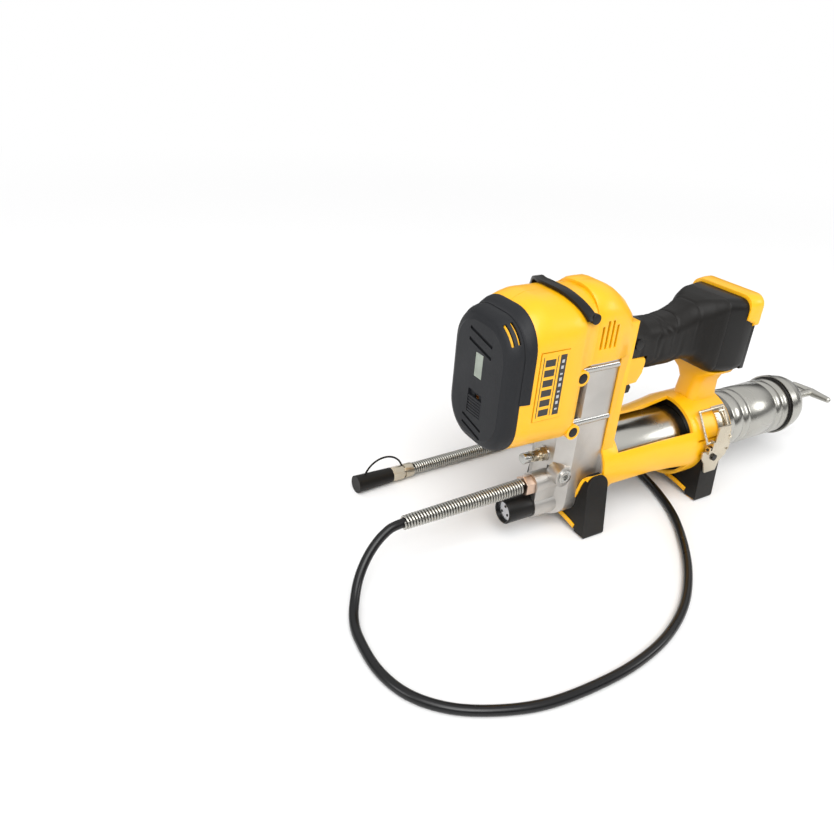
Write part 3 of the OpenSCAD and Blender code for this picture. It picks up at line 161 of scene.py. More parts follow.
def surface(name, color, rough, metal=0.0, grain=900.0, drift=18.0, tone=0.12, bump=0.1, rough_drift=0.08,
            coat=0.0, bump_size=0.0002):
    """Material with moulded or plated detail from the shared group."""
    mat = bpy.data.materials.new(name)
    mat.use_nodes = True
    nodes, links = mat.node_tree.nodes, mat.node_tree.links
    shader = nodes["Principled BSDF"]
    shader.inputs["Metallic"].default_value = metal
    shader.inputs["Coat Weight"].default_value = coat
    shader.inputs["Coat Roughness"].default_value = 0.12
    detail = nodes.new("ShaderNodeGroup")
    detail.node_tree = MOULDED
    detail.inputs["Color"].default_value = (*color, 1)
    detail.inputs["Grain"].default_value = grain
    detail.inputs["Drift"].default_value = drift
    detail.inputs["Tone"].default_value = tone
    links.new(detail.outputs["Color"], shader.inputs["Base Color"])
    spread = nodes.new("ShaderNodeMapRange")
    spread.inputs["To Min"].default_value = rough - rough_drift
    spread.inputs["To Max"].default_value = rough + rough_drift
    links.new(detail.outputs["Patches"], spread.inputs["Value"])
    links.new(spread.outputs["Result"], shader.inputs["Roughness"])
    relief = nodes.new("ShaderNodeBump")
    relief.inputs["Strength"].default_value = bump
    relief.inputs["Distance"].default_value = bump_size
    links.new(detail.outputs["Height"], relief.inputs["Height"])
    links.new(relief.outputs["Normal"], shader.inputs["Normal"])
    return mat


FINISHES = {
    "housing_yellow": surface("yellow housing", (0.93, 0.46, 0.002), 0.38, tone=0.05, bump=0.3, coat=0.12),
    "charcoal_plastic": surface("charcoal cap", (0.013, 0.0138, 0.016), 0.52, grain=700, bump=0.6),
    "black_plastic": surface("black plastic", (0.007, 0.0065, 0.006), 0.36, bump=0.3),
    "grip_rubber": surface("grip rubber", (0.006, 0.005, 0.004), 0.48, grain=600, tone=0.3, bump=0.6),
    "cast_aluminium": surface("cast aluminium", (0.60, 0.58, 0.55), 0.42, 1, grain=420, tone=0.25, bump=0.7),
    "zinc_steel": surface("zinc plated steel", (0.50, 0.49, 0.45), 0.27, 1, grain=260, tone=0.2, bump=0.08),
    "ground_steel": surface("ground steel", (0.52, 0.52, 0.50), 0.26, 1, grain=600, tone=0.12, bump=0.15),
    "nickel_latch": surface("nickel latch", (0.64, 0.575, 0.455), 0.3, 1, grain=500, tone=0.3, bump=0.15),
    "dark_steel": surface("dark steel", (0.05, 0.048, 0.045), 0.4, 1, tone=0.2),
    "copper_nut": surface("copper plated nut", (0.72, 0.54, 0.43), 0.28, 1, tone=0.2),
    "bronze": surface("sintered bronze", (0.55, 0.36, 0.16), 0.5, 1, tone=0.2, bump=0.5),
    "rotor_copper": surface("enamelled winding", (0.50, 0.22, 0.08), 0.35, 1, tone=0.3, bump=0.4),
    "lamp_silver": surface("lamp window", (0.62, 0.63, 0.66), 0.18, 1, tone=0.15),
    "gauge_pane": surface("gauge pane", (0.30, 0.34, 0.28), 0.12, tone=0.35, drift=60, coat=0.5),
    "label_black": surface("label black", (0.010, 0.009, 0.008), 0.3, coat=0.2),
    "terminal_plastic": surface("terminal carrier", (0.04, 0.035, 0.03), 0.5, tone=0.2),
    "lead_red": surface("cable insulation", (0.30, 0.02, 0.015), 0.45, tone=0.2),
    "hose_black": surface("hose sheath", (0.0045, 0.0045, 0.005), 0.3, grain=1500, bump=0.15, coat=0.2),
}


for slot in ("charcoal_plastic", "black_plastic", "grip_rubber", "hose_black"):
    FINISHES[slot].node_tree.nodes["Principled BSDF"].inputs["Specular IOR Level"].default_value = 0.25


def finish_with(piece, slot):
    """Gives a piece the material of one of the record's slots."""
    piece.data.materials.clear()
    piece.data.materials.append(FINISHES[slot])


# ---- pieces ----------------------------------------------------------------------------------
def add_piece(name, bm, node, slot=None, replaces=True):
    """Puts a finished bmesh into the scene as a piece that rides with a node's body."""
    mesh = bpy.data.meshes.new(name)
    bm.to_mesh(mesh)
    bm.free()
    piece = bpy.data.objects.new(name, mesh)
    bpy.context.scene.collection.objects.link(piece)
    finish_with(piece, slot or SLOT_OF[node])
    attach(piece, BODY_OF[node])
    if replaces:
        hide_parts(node)
    return piece


def section_ring(x, hw, z0, z1, rb, rt, n=8):
    """Rounded rectangle in Y and Z: half width, bottom, top, lower and upper corner radius."""
    ring = []
    for cy, cz, r, start in ((hw - rb, z0 + rb, rb, -90), (hw - rt, z1 - rt, rt, 0),
                             (rt - hw, z1 - rt, rt, 90), (rb - hw, z0 + rb, rb, 180)):
        for i in range(n + 1):
            a = math.radians(start + 90 * i / n)
            ring.append(Vector((x, cy + r * math.cos(a), cz + r * math.sin(a))))
    return ring


def flowing(rows, per_span):
    """Section rows with smooth rows between them that never overshoot."""
    def slope(k, c):
        if k in (0, len(rows) - 1):
            return 0.0
        a = (rows[k][c] - rows[k - 1][c]) / (rows[k][0] - rows[k - 1][0])
        b = (rows[k + 1][c] - rows[k][c]) / (rows[k + 1][0] - rows[k][0])
        return 2 * a * b / (a + b) if a * b > 0 else 0.0

    out = []
    for k in range(len(rows) - 1):
        span = rows[k + 1][0] - rows[k][0]
        for s in range(per_span):
            t = s / per_span
            row = [rows[k][0] + t * span]
            for c in range(1, 6):
                p, q = rows[k][c], rows[k + 1][c]
                m, n = slope(k, c) * span, slope(k + 1, c) * span
                row.append((2 * t ** 3 - 3 * t * t + 1) * p + (t ** 3 - 2 * t * t + t) * m
                           + (3 * t * t - 2 * t ** 3) * q + (t ** 3 - t * t) * n)
            out.append(row)
    return out + [list(rows[-1])]


def skin(rings, bm=None):
    """Closed skin over rings of equally many points in millimetres."""
    bm = bm or bmesh.new()
    before = None
    ends = []
    for ring in rings:
        verts = [bm.verts.new(at(*p)) for p in ring]
        edges = [bm.edges.new((verts[k - 1], verts[k])) for k in range(len(verts))]
        if before:
            bmesh.ops.bridge_loops(bm, edges=before + edges)
        else:
            ends.append(edges)
        before = edges
    ends.append(before)
    for edges in ends:
        bmesh.ops.contextual_create(bm, geom=edges)
    bmesh.ops.recalc_face_normals(bm, faces=bm.faces)
    return bm


def lofted(rows, per_span=4, wall=0.0, n=8):
    """Closed skin through section rows, all drawn in by a wall's thickness."""
    rows = [(x, hw - wall, z0 + wall, z1 - wall, max(1, rb - wall), max(1, rt - wall))
            for x, hw, z0, z1, rb, rt in rows]
    return skin([section_ring(*row, n) for row in flowing(rows, per_span)])


def add_block(bm, a, b):
    """Box between two corners in millimetres."""
    a, b = at(*a), at(*b)
    turn = Matrix.Translation((a + b) / 2) @ Matrix.Diagonal((*(b - a), 1))
    bmesh.ops.create_cube(bm, size=1, matrix=turn)
    return bm


def block(a, b):
    return add_block(bmesh.new(), a, b)


def add_tilted_block(bm, size, place, offset, angle):
    """Box of a size, moved by an offset, turned about X and set in its place."""
    turn = Matrix.Translation(at(*place)) @ Matrix.Rotation(math.radians(angle), 4, "X") \
        @ Matrix.Translation(Vector(offset) * MM) @ Matrix.Diagonal((*(Vector(size) * MM), 1))
    bmesh.ops.create_cube(bm, size=1, matrix=turn)


def prism(outline, along, start, end, bm=None):
    """Flat outline in millimetres, swept from start to end along X (0) or Y (1)."""
    bm = bm or bmesh.new()
    verts = [bm.verts.new(at(start, u, v) if along == 0 else at(u, start, v)) for u, v in outline]
    edges = [bm.edges.new((verts[k - 1], verts[k])) for k in range(len(verts))]
    faces = bmesh.ops.contextual_create(bm, geom=edges)["faces"]
    swept = bmesh.ops.extrude_face_region(bm, geom=faces)["geom"]
    move = Vector((0, 0, 0))
    move[along] = (end - start) * MM
    bmesh.ops.translate(bm, vec=move, verts=[v for v in swept if isinstance(v, bmesh.types.BMVert)])
    bm.faces.ensure_lookup_table()
    bmesh.ops.recalc_face_normals(bm, faces=bm.faces)
    return bm


def add_cylinder(bm, start, end, radius, tip=None, segments=48):
    """Round bar or cone between two places in millimetres."""
    a, b = at(*start), at(*end)
    made = bmesh.ops.create_cone(bm, cap_ends=True, segments=segments, radius1=radius * MM,
                                 radius2=(radius if tip is None else tip) * MM, depth=(b - a).length)["verts"]
    turn = (b - a).to_track_quat("Z", "Y").to_matrix().to_4x4()
    bmesh.ops.transform(bm, matrix=Matrix.Translation((a + b) / 2) @ turn, verts=made)
    return bm


def turned(profile, origin=None, axis=(1, 0, 0), steps=96, bm=None):
    """Profile of (along, radius) points in millimetres, spun about an axis into a closed skin."""
    bm = bm or bmesh.new()
    origin = at(0, 0, AXIS_Z) if origin is None else origin
    axis = Vector(axis).normalized()
    side = axis.orthogonal().normalized()
    verts = [bm.verts.new(origin + axis * (x * MM) + side * (max(r, 0) * MM)) for x, r in profile]
    edges = [bm.edges.new((verts[i], verts[(i + 1) % len(verts)])) for i in range(len(verts))]
    bmesh.ops.spin(bm, geom=verts + edges, cent=origin, axis=axis, angle=2 * math.pi, steps=steps,
                   use_merge=True)
    bmesh.ops.remove_doubles(bm, verts=bm.verts, dist=1e-7)
    bmesh.ops.recalc_face_normals(bm, faces=bm.faces)
    return bm


def carved(bm, *tools, operation="DIFFERENCE"):
    """The bmesh after a boolean with each tool in turn."""
    for tool in tools:
        objects = []
        for part in (bm, tool):
            mesh = bpy.data.meshes.new("part")
            part.to_mesh(mesh)
            part.free()
            objects.append(bpy.data.objects.new("part", mesh))
            bpy.context.scene.collection.objects.link(objects[-1])
        cut = objects[0].modifiers.new("cut", "BOOLEAN")
        cut.operation = operation
        cut.solver = "EXACT"
        cut.use_self = True
        cut.object = objects[1]
        ready = objects[0].evaluated_get(bpy.context.evaluated_depsgraph_get())
        bm = bmesh.new()
        bm.from_mesh(ready.data)
        for item in objects:
            mesh = item.data
            bpy.data.objects.remove(item)
            bpy.data.meshes.remove(mesh)
    return bm


def half_of(bm, side):
    """The half on one side of the seam, cut a little short so that the seam shows."""
    bmesh.ops.bisect_plane(bm, geom=bm.verts[:] + bm.edges[:] + bm.faces[:], plane_co=(0, side * 0.00012, 0),
                           plane_no=(0, side, 0), clear_inner=True)
    bmesh.ops.holes_fill(bm, edges=[e for e in bm.edges if e.is_boundary])
    return bm


def coil(name, node, start, end, radii, wire, turns):
    """Round-wire spring between two places, with closed ends."""
    a, b = at(*start), at(*end)
    way = (b - a).normalized()
    side = way.orthogonal().normalized()
    other = way.cross(side)
    length = (b - a).length - wire * MM
    steps = int(turns * 24)
    data = bpy.data.curves.new(name, "CURVE")
    data.dimensions = "3D"
    data.bevel_depth = wire / 2 * MM
    data.bevel_resolution = 3
    data.use_fill_caps = True
    line = data.splines.new("POLY")
    line.points.add(steps)
    for i, point in enumerate(line.points):
        t = i / steps
        a_turn = 2 * math.pi * turns * t
        r = (radii[0] + (radii[1] - radii[0]) * t - wire / 2) * MM
        outward = math.cos(a_turn) * side + math.sin(a_turn) * other
        place = a + way * (wire / 2 * MM + length * t) + r * outward
        point.co = (*place, 1)
    wound = bpy.data.objects.new("wire", data)
    bpy.context.scene.collection.objects.link(wound)
    mesh = bpy.data.meshes.new_from_object(wound.evaluated_get(bpy.context.evaluated_depsgraph_get()))
    bpy.data.objects.remove(wound)
    bpy.data.curves.remove(data)
    mesh.name = name
    mesh.shade_smooth()
    spring = bpy.data.objects.new(name, mesh)
    bpy.context.scene.collection.objects.link(spring)
    finish_with(spring, SLOT_OF[node])
    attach(spring, BODY_OF[node])
    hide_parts(node)
    return spring


def round_edges(piece, width, segments=3, angle=32):
    """Rounds every edge of a piece that is sharper than an angle."""
    bevel = piece.modifiers.new("round edges", "BEVEL")
    bevel.width = width * MM
    bevel.segments = segments
    bevel.limit_method = "ANGLE"
    bevel.angle_limit = math.radians(angle)
    bevel.harden_normals = True
    bevel.use_clamp_overlap = True
    piece.data.shade_smooth()
    return piece


def eased(node, width, segments=3, angle=32):
    """A copy of a CAD node with its flat faces whole again and its edges rounded."""
    bm = bmesh.new()
    bm.from_mesh(frame["nodes"][node].data)
    bmesh.ops.remove_doubles(bm, verts=bm.verts, dist=1e-6)
    bmesh.ops.dissolve_limit(bm, angle_limit=math.radians(0.8), verts=bm.verts, edges=bm.edges)
    return round_edges(add_piece(node + "_rounded", bm, node), width, segments, angle)


# ---- hose ------------------------------------------------------------------------------------
def add_hose():
    """The hose as one tube along its route, from where the pump's spring guard begins."""
    route = [at(*p) for p in smooth_route(HOSE_PATH, 8)]
    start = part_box("pump_spring_guard")[0].x
    while route[0].x < start:
        route.pop(0)
    data = bpy.data.curves.new("grease_hose", "CURVE")
    data.dimensions = "3D"
    data.bevel_depth = HOSE_D / 2 * MM
    data.bevel_resolution = 6
    data.use_fill_caps = True
    line = data.splines.new("POLY")
    line.points.add(len(route) - 1)
    for point, place in zip(line.points, route):
        point.co = (*place, 1)
    hose = bpy.data.objects.new("grease_hose", data)
    bpy.context.scene.collection.objects.link(hose)
    data.materials.append(FINISHES["hose_black"])
    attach(hose, "tool")
    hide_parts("hose")
    length = sum((b - a).length for a, b in zip(route, route[1:]))
    return hose, route, length


hose, hose_route, hose_length = add_hose()

for node, piece in frame["nodes"].items():
    if node != "hose":
        finish_with(piece, SLOT_OF[node])

# ---- motor housing ---------------------------------------------------------------------------
SPLIT_X, SEAM_X, NOSE_X = 298, 370, 384
HW, FLOOR, TOP = 39, 100, 223
HEAD_TOP = 167
# Sections along the tool: place, half width, bottom, top, lower and upper corner radius.
HOUSING = [(SPLIT_X + 0.3, 32, 106, 222.5, 18, 27), (307, 34, 102, TOP, 20, 29),
           (317, 38, FLOOR, TOP, 24, 31), (328, HW, FLOOR, TOP, 27, 32),
           (346, HW, FLOOR, TOP, 28, 32), (358, HW, FLOOR, 219.5, 28, 31),
           (SEAM_X, 38, FLOOR, 212, 28, 29)]
SCREW_X, SCREW_Z = 310, (160, 112.5)
LABEL_X, LABEL_Z = (331, 357), (133, 189)
WALL = 3.0


def at_x(x, row):
    """A section row moved to another place along the tool."""
    return (x, *row[1:])


def add_housing():
    """Both halves of the motor housing, hollow, with the head's recess, label beds and screw bosses."""
    for side, name in ((1, "left"), (-1, "right")):
        shell = lofted(HOUSING, 5, n=10)
        hollow = lofted([at_x(SPLIT_X + 4, HOUSING[0]), *HOUSING[1:], at_x(SEAM_X + 1, HOUSING[-1])], 4, WALL)
        recess = block((SPLIT_X - 1, -60, 98), (SPLIT_X + 12, 60, HEAD_TOP + 0.5))
        head_room = block((290, -26.5, 60), (306, 26.5, HEAD_TOP + 0.5))
        neck_room = block((SPLIT_X - 2, -25.2, HEAD_TOP), (306, 25.2, 206))
        label_beds = bmesh.new()
        bosses = bmesh.new()
        holes = bmesh.new()
        for s in (-1, 1):
            add_block(label_beds, (LABEL_X[0] - 0.6, s * HW - 0.8, LABEL_Z[0] - 0.6),
                      (LABEL_X[1] + 0.6, s * HW + 0.8, LABEL_Z[1] + 0.6))
            for z in SCREW_Z:
                add_cylinder(bosses, (SCREW_X, s * 27, z), (SCREW_X, s * 37, z), 6.5)
                add_cylinder(holes, (SCREW_X, s * 34, z), (SCREW_X, s * 45, z), 4.4)
        shell = carved(shell, hollow, recess, head_room, neck_room, label_beds)
        shell = carved(shell, bosses, operation="UNION")
        shell = half_of(carved(shell, holes), side)
        round_edges(add_piece("motor_housing_" + name + "_shell", shell, "motor_housing_" + name), 0.5, 2, 35)


def add_cap():
    """The motor's front cap with its slots, vents, window and the slider's opening."""
    rows = [(SEAM_X + 0.25, 38, FLOOR, 212, 28, 29), (SEAM_X + 4, 38, FLOOR, 211.8, 28, 29),
            (SEAM_X + 7.7, 37, 100.5, 210.5, 28, 29), (SEAM_X + 11.9, 34.5, 103.5, 207, 27, 27),
            (NOSE_X, 30, 108, 202, 24, 24)]
    cap = lofted(rows, 4, n=10)
    hollow = lofted([at_x(SEAM_X - 1, rows[0]), rows[2], at_x(NOSE_X - 4.5, rows[3])], 3, WALL)
    cuts = bmesh.new()
    add_block(cuts, (NOSE_X - 2.2, -9, 126), (NOSE_X + 1, 9, 146))
    add_block(cuts, (NOSE_X - 1.6, -4.5, 158), (NOSE_X + 1, 5.5, 178))
    for i in (0, 1):
        add_tilted_block(cuts, (2.8, 30, 2.6), (NOSE_X, 0, 190 - 9 * i), (0, 0, 1.3), -12)
        add_tilted_block(cuts, (2.8, 26, 2.2), (NOSE_X, 0, 118 - 7 * i), (0, -1, 1.1), -12)
        for side in (-1, 1):
            vent = (SEAM_X + 4.6 + 4.5 * i, side * 30, 206)
            add_tilted_block(cuts, (2.2, 18, 16), vent, (0, 0, 0), side * -42)
    cap = carved(cap, hollow, cuts)
    lining = lofted([at_x(rows[1][0] - 1, rows[1]), rows[2], at_x(rows[3][0] + 1, rows[3])], 3, 2.8, 10)
    backing = carved(lofted(rows[1:4], 3, 1.6, 10), lining)
    add_piece("cap_vent_backing", backing, "motor_end_cap", "housing_yellow", replaces=False)
    cap = carved(cap, block((NOSE_X - 10, -3, 133), (NOSE_X + 1, 3, 143)))
    round_edges(add_piece("motor_end_cap_shell", cap, "motor_end_cap"), 0.5, 2, 35)


def add_collar():
    """The cap's upper skirt, which laps over the housing down to a step in the seam."""
    rows = [(361.5, HW, FLOOR, 217.4, 28, 30.3), (366, 38.7, FLOOR, 214.9, 28, 29.6),
            (SEAM_X, 38, FLOOR, 212, 28, 29), (SEAM_X + 1.2, 38, FLOOR, 212, 28, 29)]
    skirt = lofted(rows, 3, -0.45, 10)
    inside = lofted([at_x(rows[0][0] - 1, rows[0]), *rows[1:3], at_x(SEAM_X + 2, rows[2])], 3, -0.06, 10)
    below = block((350, -60, 80), (380, 60, 149))
    piece = add_piece("cap_skirt", carved(skirt, inside, below), "motor_end_cap", replaces=False)
    round_edges(piece, 0.2, 2, 35)


def add_plate(bm, side, low, high, x, z):
    """Thin plate on one side of the tool, between two distances from the middle."""
    y0, y1 = sorted((side * low, side * high))
    add_block(bm, (x[0], y0, z[0]), (x[1], y1, z[1]))


def add_label():
    """Plain label: a dark band with pale ticks, two rules and a row of blocks between them."""
    ground, dark, pale = bmesh.new(), bmesh.new(), bmesh.new()
    face = HW + 0.3
    rules = [((x0, x1), (136, 186)) for x0, x1 in ((333, 339), (341, 341.7), (354.3, 355))]
    blocks = [((343.2, 352.8), (137 + 8.2 * k, 142.6 + 8.2 * k)) for k in range(6)]
    for side in (-1, 1):
        add_plate(ground, side, face - 0.3, face + 0.3, LABEL_X, LABEL_Z)
        for x, z in rules + blocks:
            add_plate(dark, side, face - 0.1, face + 0.33, x, z)
        for k in range(9):
            low = 140 + 4.9 * k
            add_plate(pale, side, face, face + 0.35, (334.8, 337.2), (low, low + (2.6 if k % 3 else 1.4)))
    add_piece("label_ground", ground, "label_plate", "housing_yellow")
    add_piece("label_marks", dark, "label_plate", "label_black", replaces=False)
    add_piece("label_ticks", pale, "label_plate", "lamp_silver", replaces=False)


def add_ribs():
    """Polished bars from the case screws across the head's side plates."""
    bars = bmesh.new()
    rear, front, off_middle, radius = 262.2, 303.5, 24, 3.6
    for side in (-1, 1):
        for z in SCREW_Z:
            place = (side * off_middle, z)
            add_cylinder(bars, (rear, *place), (front, *place), radius, segments=32)
    round_edges(add_piece("head_ribs", bars, "pump_head", "ground_steel", replaces=False), 0.6, 3, 40)


# ---- feet and lamp ---------------------------------------------------------------------------
FRONT_FOOT, REAR_FOOT = (257, 281), (115, 139)
FOOT_HW = 44
RING_R = 38.6


def under_arch(y, low):
    """Height of the feet's arched underside at a distance from the middle."""
    return low + 4 * (1 - (y / 31) ** 2)


def head_hollow(share, low):
    """Place on the hollow of the front foot, in which the head's round underside stands."""
    return 29 * share, low + 41 * abs(share) ** 3.2


def ribbon(bm, points, x0, x1, thick):
    """Strip of even thickness that follows a line of (Y, Z) points and runs from x0 to x1."""
    outer = []
    for i, (y, z) in enumerate(points):
        a, b = points[max(i - 1, 0)], points[min(i + 1, len(points) - 1)]
        way = Vector((b[0] - a[0], b[1] - a[1])).normalized()
        outer.append((y + way.y * thick, z - way.x * thick))
    prism(list(points) + outer[::-1], 0, x0, x1, bm)


def add_foot_trim():
    """Yellow rims that frame the rubber on both feet."""
    trim = bmesh.new()
    front = FRONT_FOOT[1] + 1.2
    ribbon(trim, [head_hollow(t / 16, 14.7) for t in range(-16, 17)], FRONT_FOOT[0] + 0.2, front, 2.6)
    trim = carved(trim, tongue(FRONT_FOOT[0] - 1, front, 60.5, 11.5, 6), operation="INTERSECT")
    for x0, x1 in (FRONT_FOOT, REAR_FOOT):
        for side in (-1, 1):
            line = [(side * y, under_arch(y, 4.6)) for y in range(30, 3, -2)]
            ribbon(trim, line if side < 0 else line[::-1], x0 + 0.3, x1 + 1, -4.2)
    round_edges(add_piece("foot_trim", trim, "front_stand", replaces=False), 0.3, 2, 40)


def soften(bm, edges, width, segments):
    """Rounds chosen edges of a piece in the making; the width is in millimetres."""
    bmesh.ops.bevel(bm, geom=edges, offset=width * MM, offset_type="OFFSET", segments=segments, profile=0.5,
                    affect="EDGES", clamp_overlap=False, material=-1)


def tongue(x0, x1, top, top_radius, foot_radius):
    """Side outline of a foot, round at the top and at both lower corners, swept across the tool."""
    outline = []
    for x, z, radius, start in ((x1 - foot_radius, foot_radius, foot_radius, -90),
                                (x1 - top_radius, top - top_radius, top_radius, 0),
                                (x0 + top_radius, top - top_radius, top_radius, 90),
                                (x0 + foot_radius, foot_radius, foot_radius, 180)):
        for i in range(11):
            a = math.radians(start + 9 * i)
            outline.append((x + radius * math.cos(a), z + radius * math.sin(a)))
    return prism(outline, 1, -60, 60)


def runs_along(edge, corner):
    """Whether an edge runs along the tool through a corner of the outline, on either side."""
    a, b = (v.co for v in edge.verts)
    near = all((Vector((abs(p.y), p.z)) - corner).length < 0.1 * MM for p in (a, b))
    return near and abs(a.x - b.x) > MM


def foot_slab(half_outline, span, corners):
    """Rubber foot across the tool, with the corners of its outline rounded."""
    outline = half_outline + [(-y, z) for y, z in half_outline[::-1]]
    slab = prism(outline, 0, *span)
    for y, z, width in corners:
        corner = Vector((y, z)) * MM
        soften(slab, [e for e in slab.edges if runs_along(e, corner)], width, 5)
    return slab


def add_feet():
    below = -0.5                        # the slabs start under the floor line, and the tongue trims them
    sole = (FOOT_HW, below)
    under = [(y, under_arch(y, 4.5)) for y in (10, 20, 31)] + [(FOOT_HW - 12, below)]
    hollow = [head_hollow(t / 12, 14.4) for t in range(12, 0, -1)]
    top, inner_top = (35.9, 59.6), (28.9, 59.2)
    slab = foot_slab(under + [sole, top, inner_top] + hollow, FRONT_FOOT,
                     [(*sole, 3.5), (*top, 3.2), (*inner_top, 2.2)])
    slab = carved(slab, tongue(*FRONT_FOOT, 59.5, 11, 3.5), operation="INTERSECT")
    round_edges(add_piece("front_foot_slabs", slab, "front_foot_pads"), 1.3, 3, 40)
    top = (40, 58)
    slab = foot_slab(under + [sole, top, (31, 58), (31, 37), (10, 26)], REAR_FOOT,
                     [(*sole, 3.5), (*top, 1.2)])
    slab = carved(slab, tongue(*REAR_FOOT, 60, 3, 4), operation="INTERSECT")
    ring = add_cylinder(bmesh.new(), (REAR_FOOT[0] - 5, 0, AXIS_Z), (REAR_FOOT[1] + 6, 0, AXIS_Z), RING_R,
                        segments=96)
    round_edges(add_piece("rear_foot_slabs", carved(slab, ring), "rear_foot_pads"), 1.3, 3, 40)


def add_lamp_dots():
    """Three diodes behind the lamp's window."""
    dots = bmesh.new()
    for k in range(3):
        a = math.radians(90 + 120 * k)
        y, z = 8 + 4.4 * math.cos(a), 27.5 + 4.4 * math.sin(a)
        add_cylinder(dots, (343.2, y, z), (343.8, y, z), 1.2, segments=24)
    add_piece("lamp_diodes", dots, "lamp_lens", "dark_steel", replaces=False)


# ---- pieces of the body ----------------------------------------------------------------------
add_housing()
add_cap()
add_collar()
add_label()
add_ribs()
add_foot_trim()
add_feet()
add_lamp_dots()

# ---- grip ------------------------------------------------------------------------------------
GRIP = [(140.1, 28, 129.5, 198.5, 10, 10), (152, 25, 135.5, 197.5, 14, 13), (163, 20, 141.5, 194.5, 14, 15),
        (174, 18, 141.5, 190, 14, 15), (188, 17.5, 139.5, 186, 14, 15), (206, 17.5, 139.5, 184, 14, 15),
        (219, 17.5, 141, 184.5, 13, 15), (230, 18, 144.5, 188, 13, 15), (249.8, 19.5, 151.5, 194, 13, 16)]
# Moulded folds: place and height of each arc's middle, its radius and its depth.
CREASES = [(232, 190, 46, 0.9), (238, 190, 34, 0.8), (224, 196, 60, 0.7), (168, 205, 44, 0.8),
           (158, 214, 52, 0.7)]


def crease_depth(p):
    """Depth of the moulded folds, which are arcs about places over the handle."""
    depth = 0.0
    for x, z, radius, deep in CREASES:
        off = math.hypot(p.x - x, p.z - z) - radius
        depth = max(depth, deep * math.exp(-(off / 1.1) ** 2))
    return depth


def add_grip():
    """Rubber sleeve round the handle's core, open at the trigger and round the lock button."""
    rings = []
    for row in flowing(GRIP, 14):
        ring = section_ring(*row, 12)
        middle = Vector((row[0], 0, (row[2] + row[3]) / 2))
        rings.append([p - (p - middle).normalized() * crease_depth(p) for p in ring])
    grip = skin(rings)
    core = skin([section_ring(139, 14.55, 142.45, 181.05, 9, 12),
                 section_ring(251, 14.55, 145.45, 184.05, 9, 12)])
    gap = block((213, -11.3, 120), (249, 11.3, 160))
    under = prism([(253, 120), (253, 157.2), (221, 157.2), (220.5, 140), (226, 120)], 1, -40, 40)
    hole = add_cylinder(bmesh.new(), (236, -40, 170), (236, 40, 170), 4.8)
    grip = carved(grip, core, gap, under, hole)
    round_edges(add_piece("handle_grip_rubber", grip, "handle_grip"), 0.35, 2, 38)


add_grip()

# ---- barrel, cap and follower ----------------------------------------------------------------
def add_barrel():
    """Barrel with its rolled beads and the thread at its front."""
    wide, rim, bore = 28.5, 28.1, 27
    outer = [(0, rim), (0.5, wide)]
    for x, w, deep in ((9, 3, 0.9), (20, 2, 0.6), (60, 2, 0.6), (70, 3, 0.9), (84, 2, 0.6)):
        flank = wide - deep * 0.8
        outer += [(x - w, wide), (x - w / 2, flank), (x, wide - deep), (x + w / 2, flank), (x + w, wide)]
    outer += [(246, wide), (247, rim)]
    outer += [(247 + 0.5 * i, rim - 0.3 * (i % 2)) for i in range(1, 27)]
    barrel = turned(outer + [(261, rim - 0.3), (261, bore), (0, bore)], steps=128)
    round_edges(add_piece("barrel_rolled", barrel, "barrel_tube"), 0.15, 1, 50)


add_barrel()

# ---- springs ---------------------------------------------------------------------------------
GUARD_LEN = 117.5
GUARD_START = Vector((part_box("pump_spring_guard")[0].x / MM - REAR_X, 8, 49))
DROOP = math.radians(1.3)
coil("pump_guard_coil", "pump_spring_guard", GUARD_START + Vector((0.3, 0, 0)),
     GUARD_START + GUARD_LEN * Vector((math.cos(DROOP), 0, -math.sin(DROOP))), (7.1, 5.9), 2.0, 44)

FAR = Vector((250, -116.5, 6.3))
RISE, SWING = math.radians(0.7), math.radians(3)
FAR_WAY = Vector((math.cos(RISE) * math.cos(SWING), math.cos(RISE) * math.sin(SWING), math.sin(RISE)))
coil("far_guard_coil", "far_spring_guard", FAR + FAR_WAY * 0.2, FAR + FAR_WAY * 117.6, (5.95, 5.95), 1.9, 46)

FOLLOWER_X, CAP_X = 206.8, 10.2                # the spring's ends at rest
follower_coil = coil("follower_coil", "follower_spring", (CAP_X, 0, AXIS_Z), (FOLLOWER_X, 0, AXIS_Z),
                     (21.8, 21.8), 2.2, 15)
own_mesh(follower_coil)

# ---- edges of the remaining nodes ------------------------------------------------------------
# How far the edges of these nodes are rounded.
EASED = {
    "frame_left": 0.5, "frame_right": 0.5, "barrel_jacket": 0.5, "strap_loop": 0.5,
    "pump_head": 0.9, "gear_cover": 0.4, "head_plug": 0.3, "bleeder_body": 0.25, "bleeder_button": 0.3,
    "lamp_body": 0.7, "trigger": 1.2, "lock_button": 0.5, "battery_base": 1.0, "battery_rails": 0.6,
    "terminal_block": 0.2, "front_stand": 0.3, "rear_stand": 0.5, "latch_bracket": 0.35,
    "latch_lever": 0.35, "speed_slider": 0.2,
    "case_screws": 0.2, "strap_screws": 0.4, "hose_nut": 0.4, "coupler_body": 0.3, "base_rim": 0.6,
}
for node, width in EASED.items():
    eased(node, width)


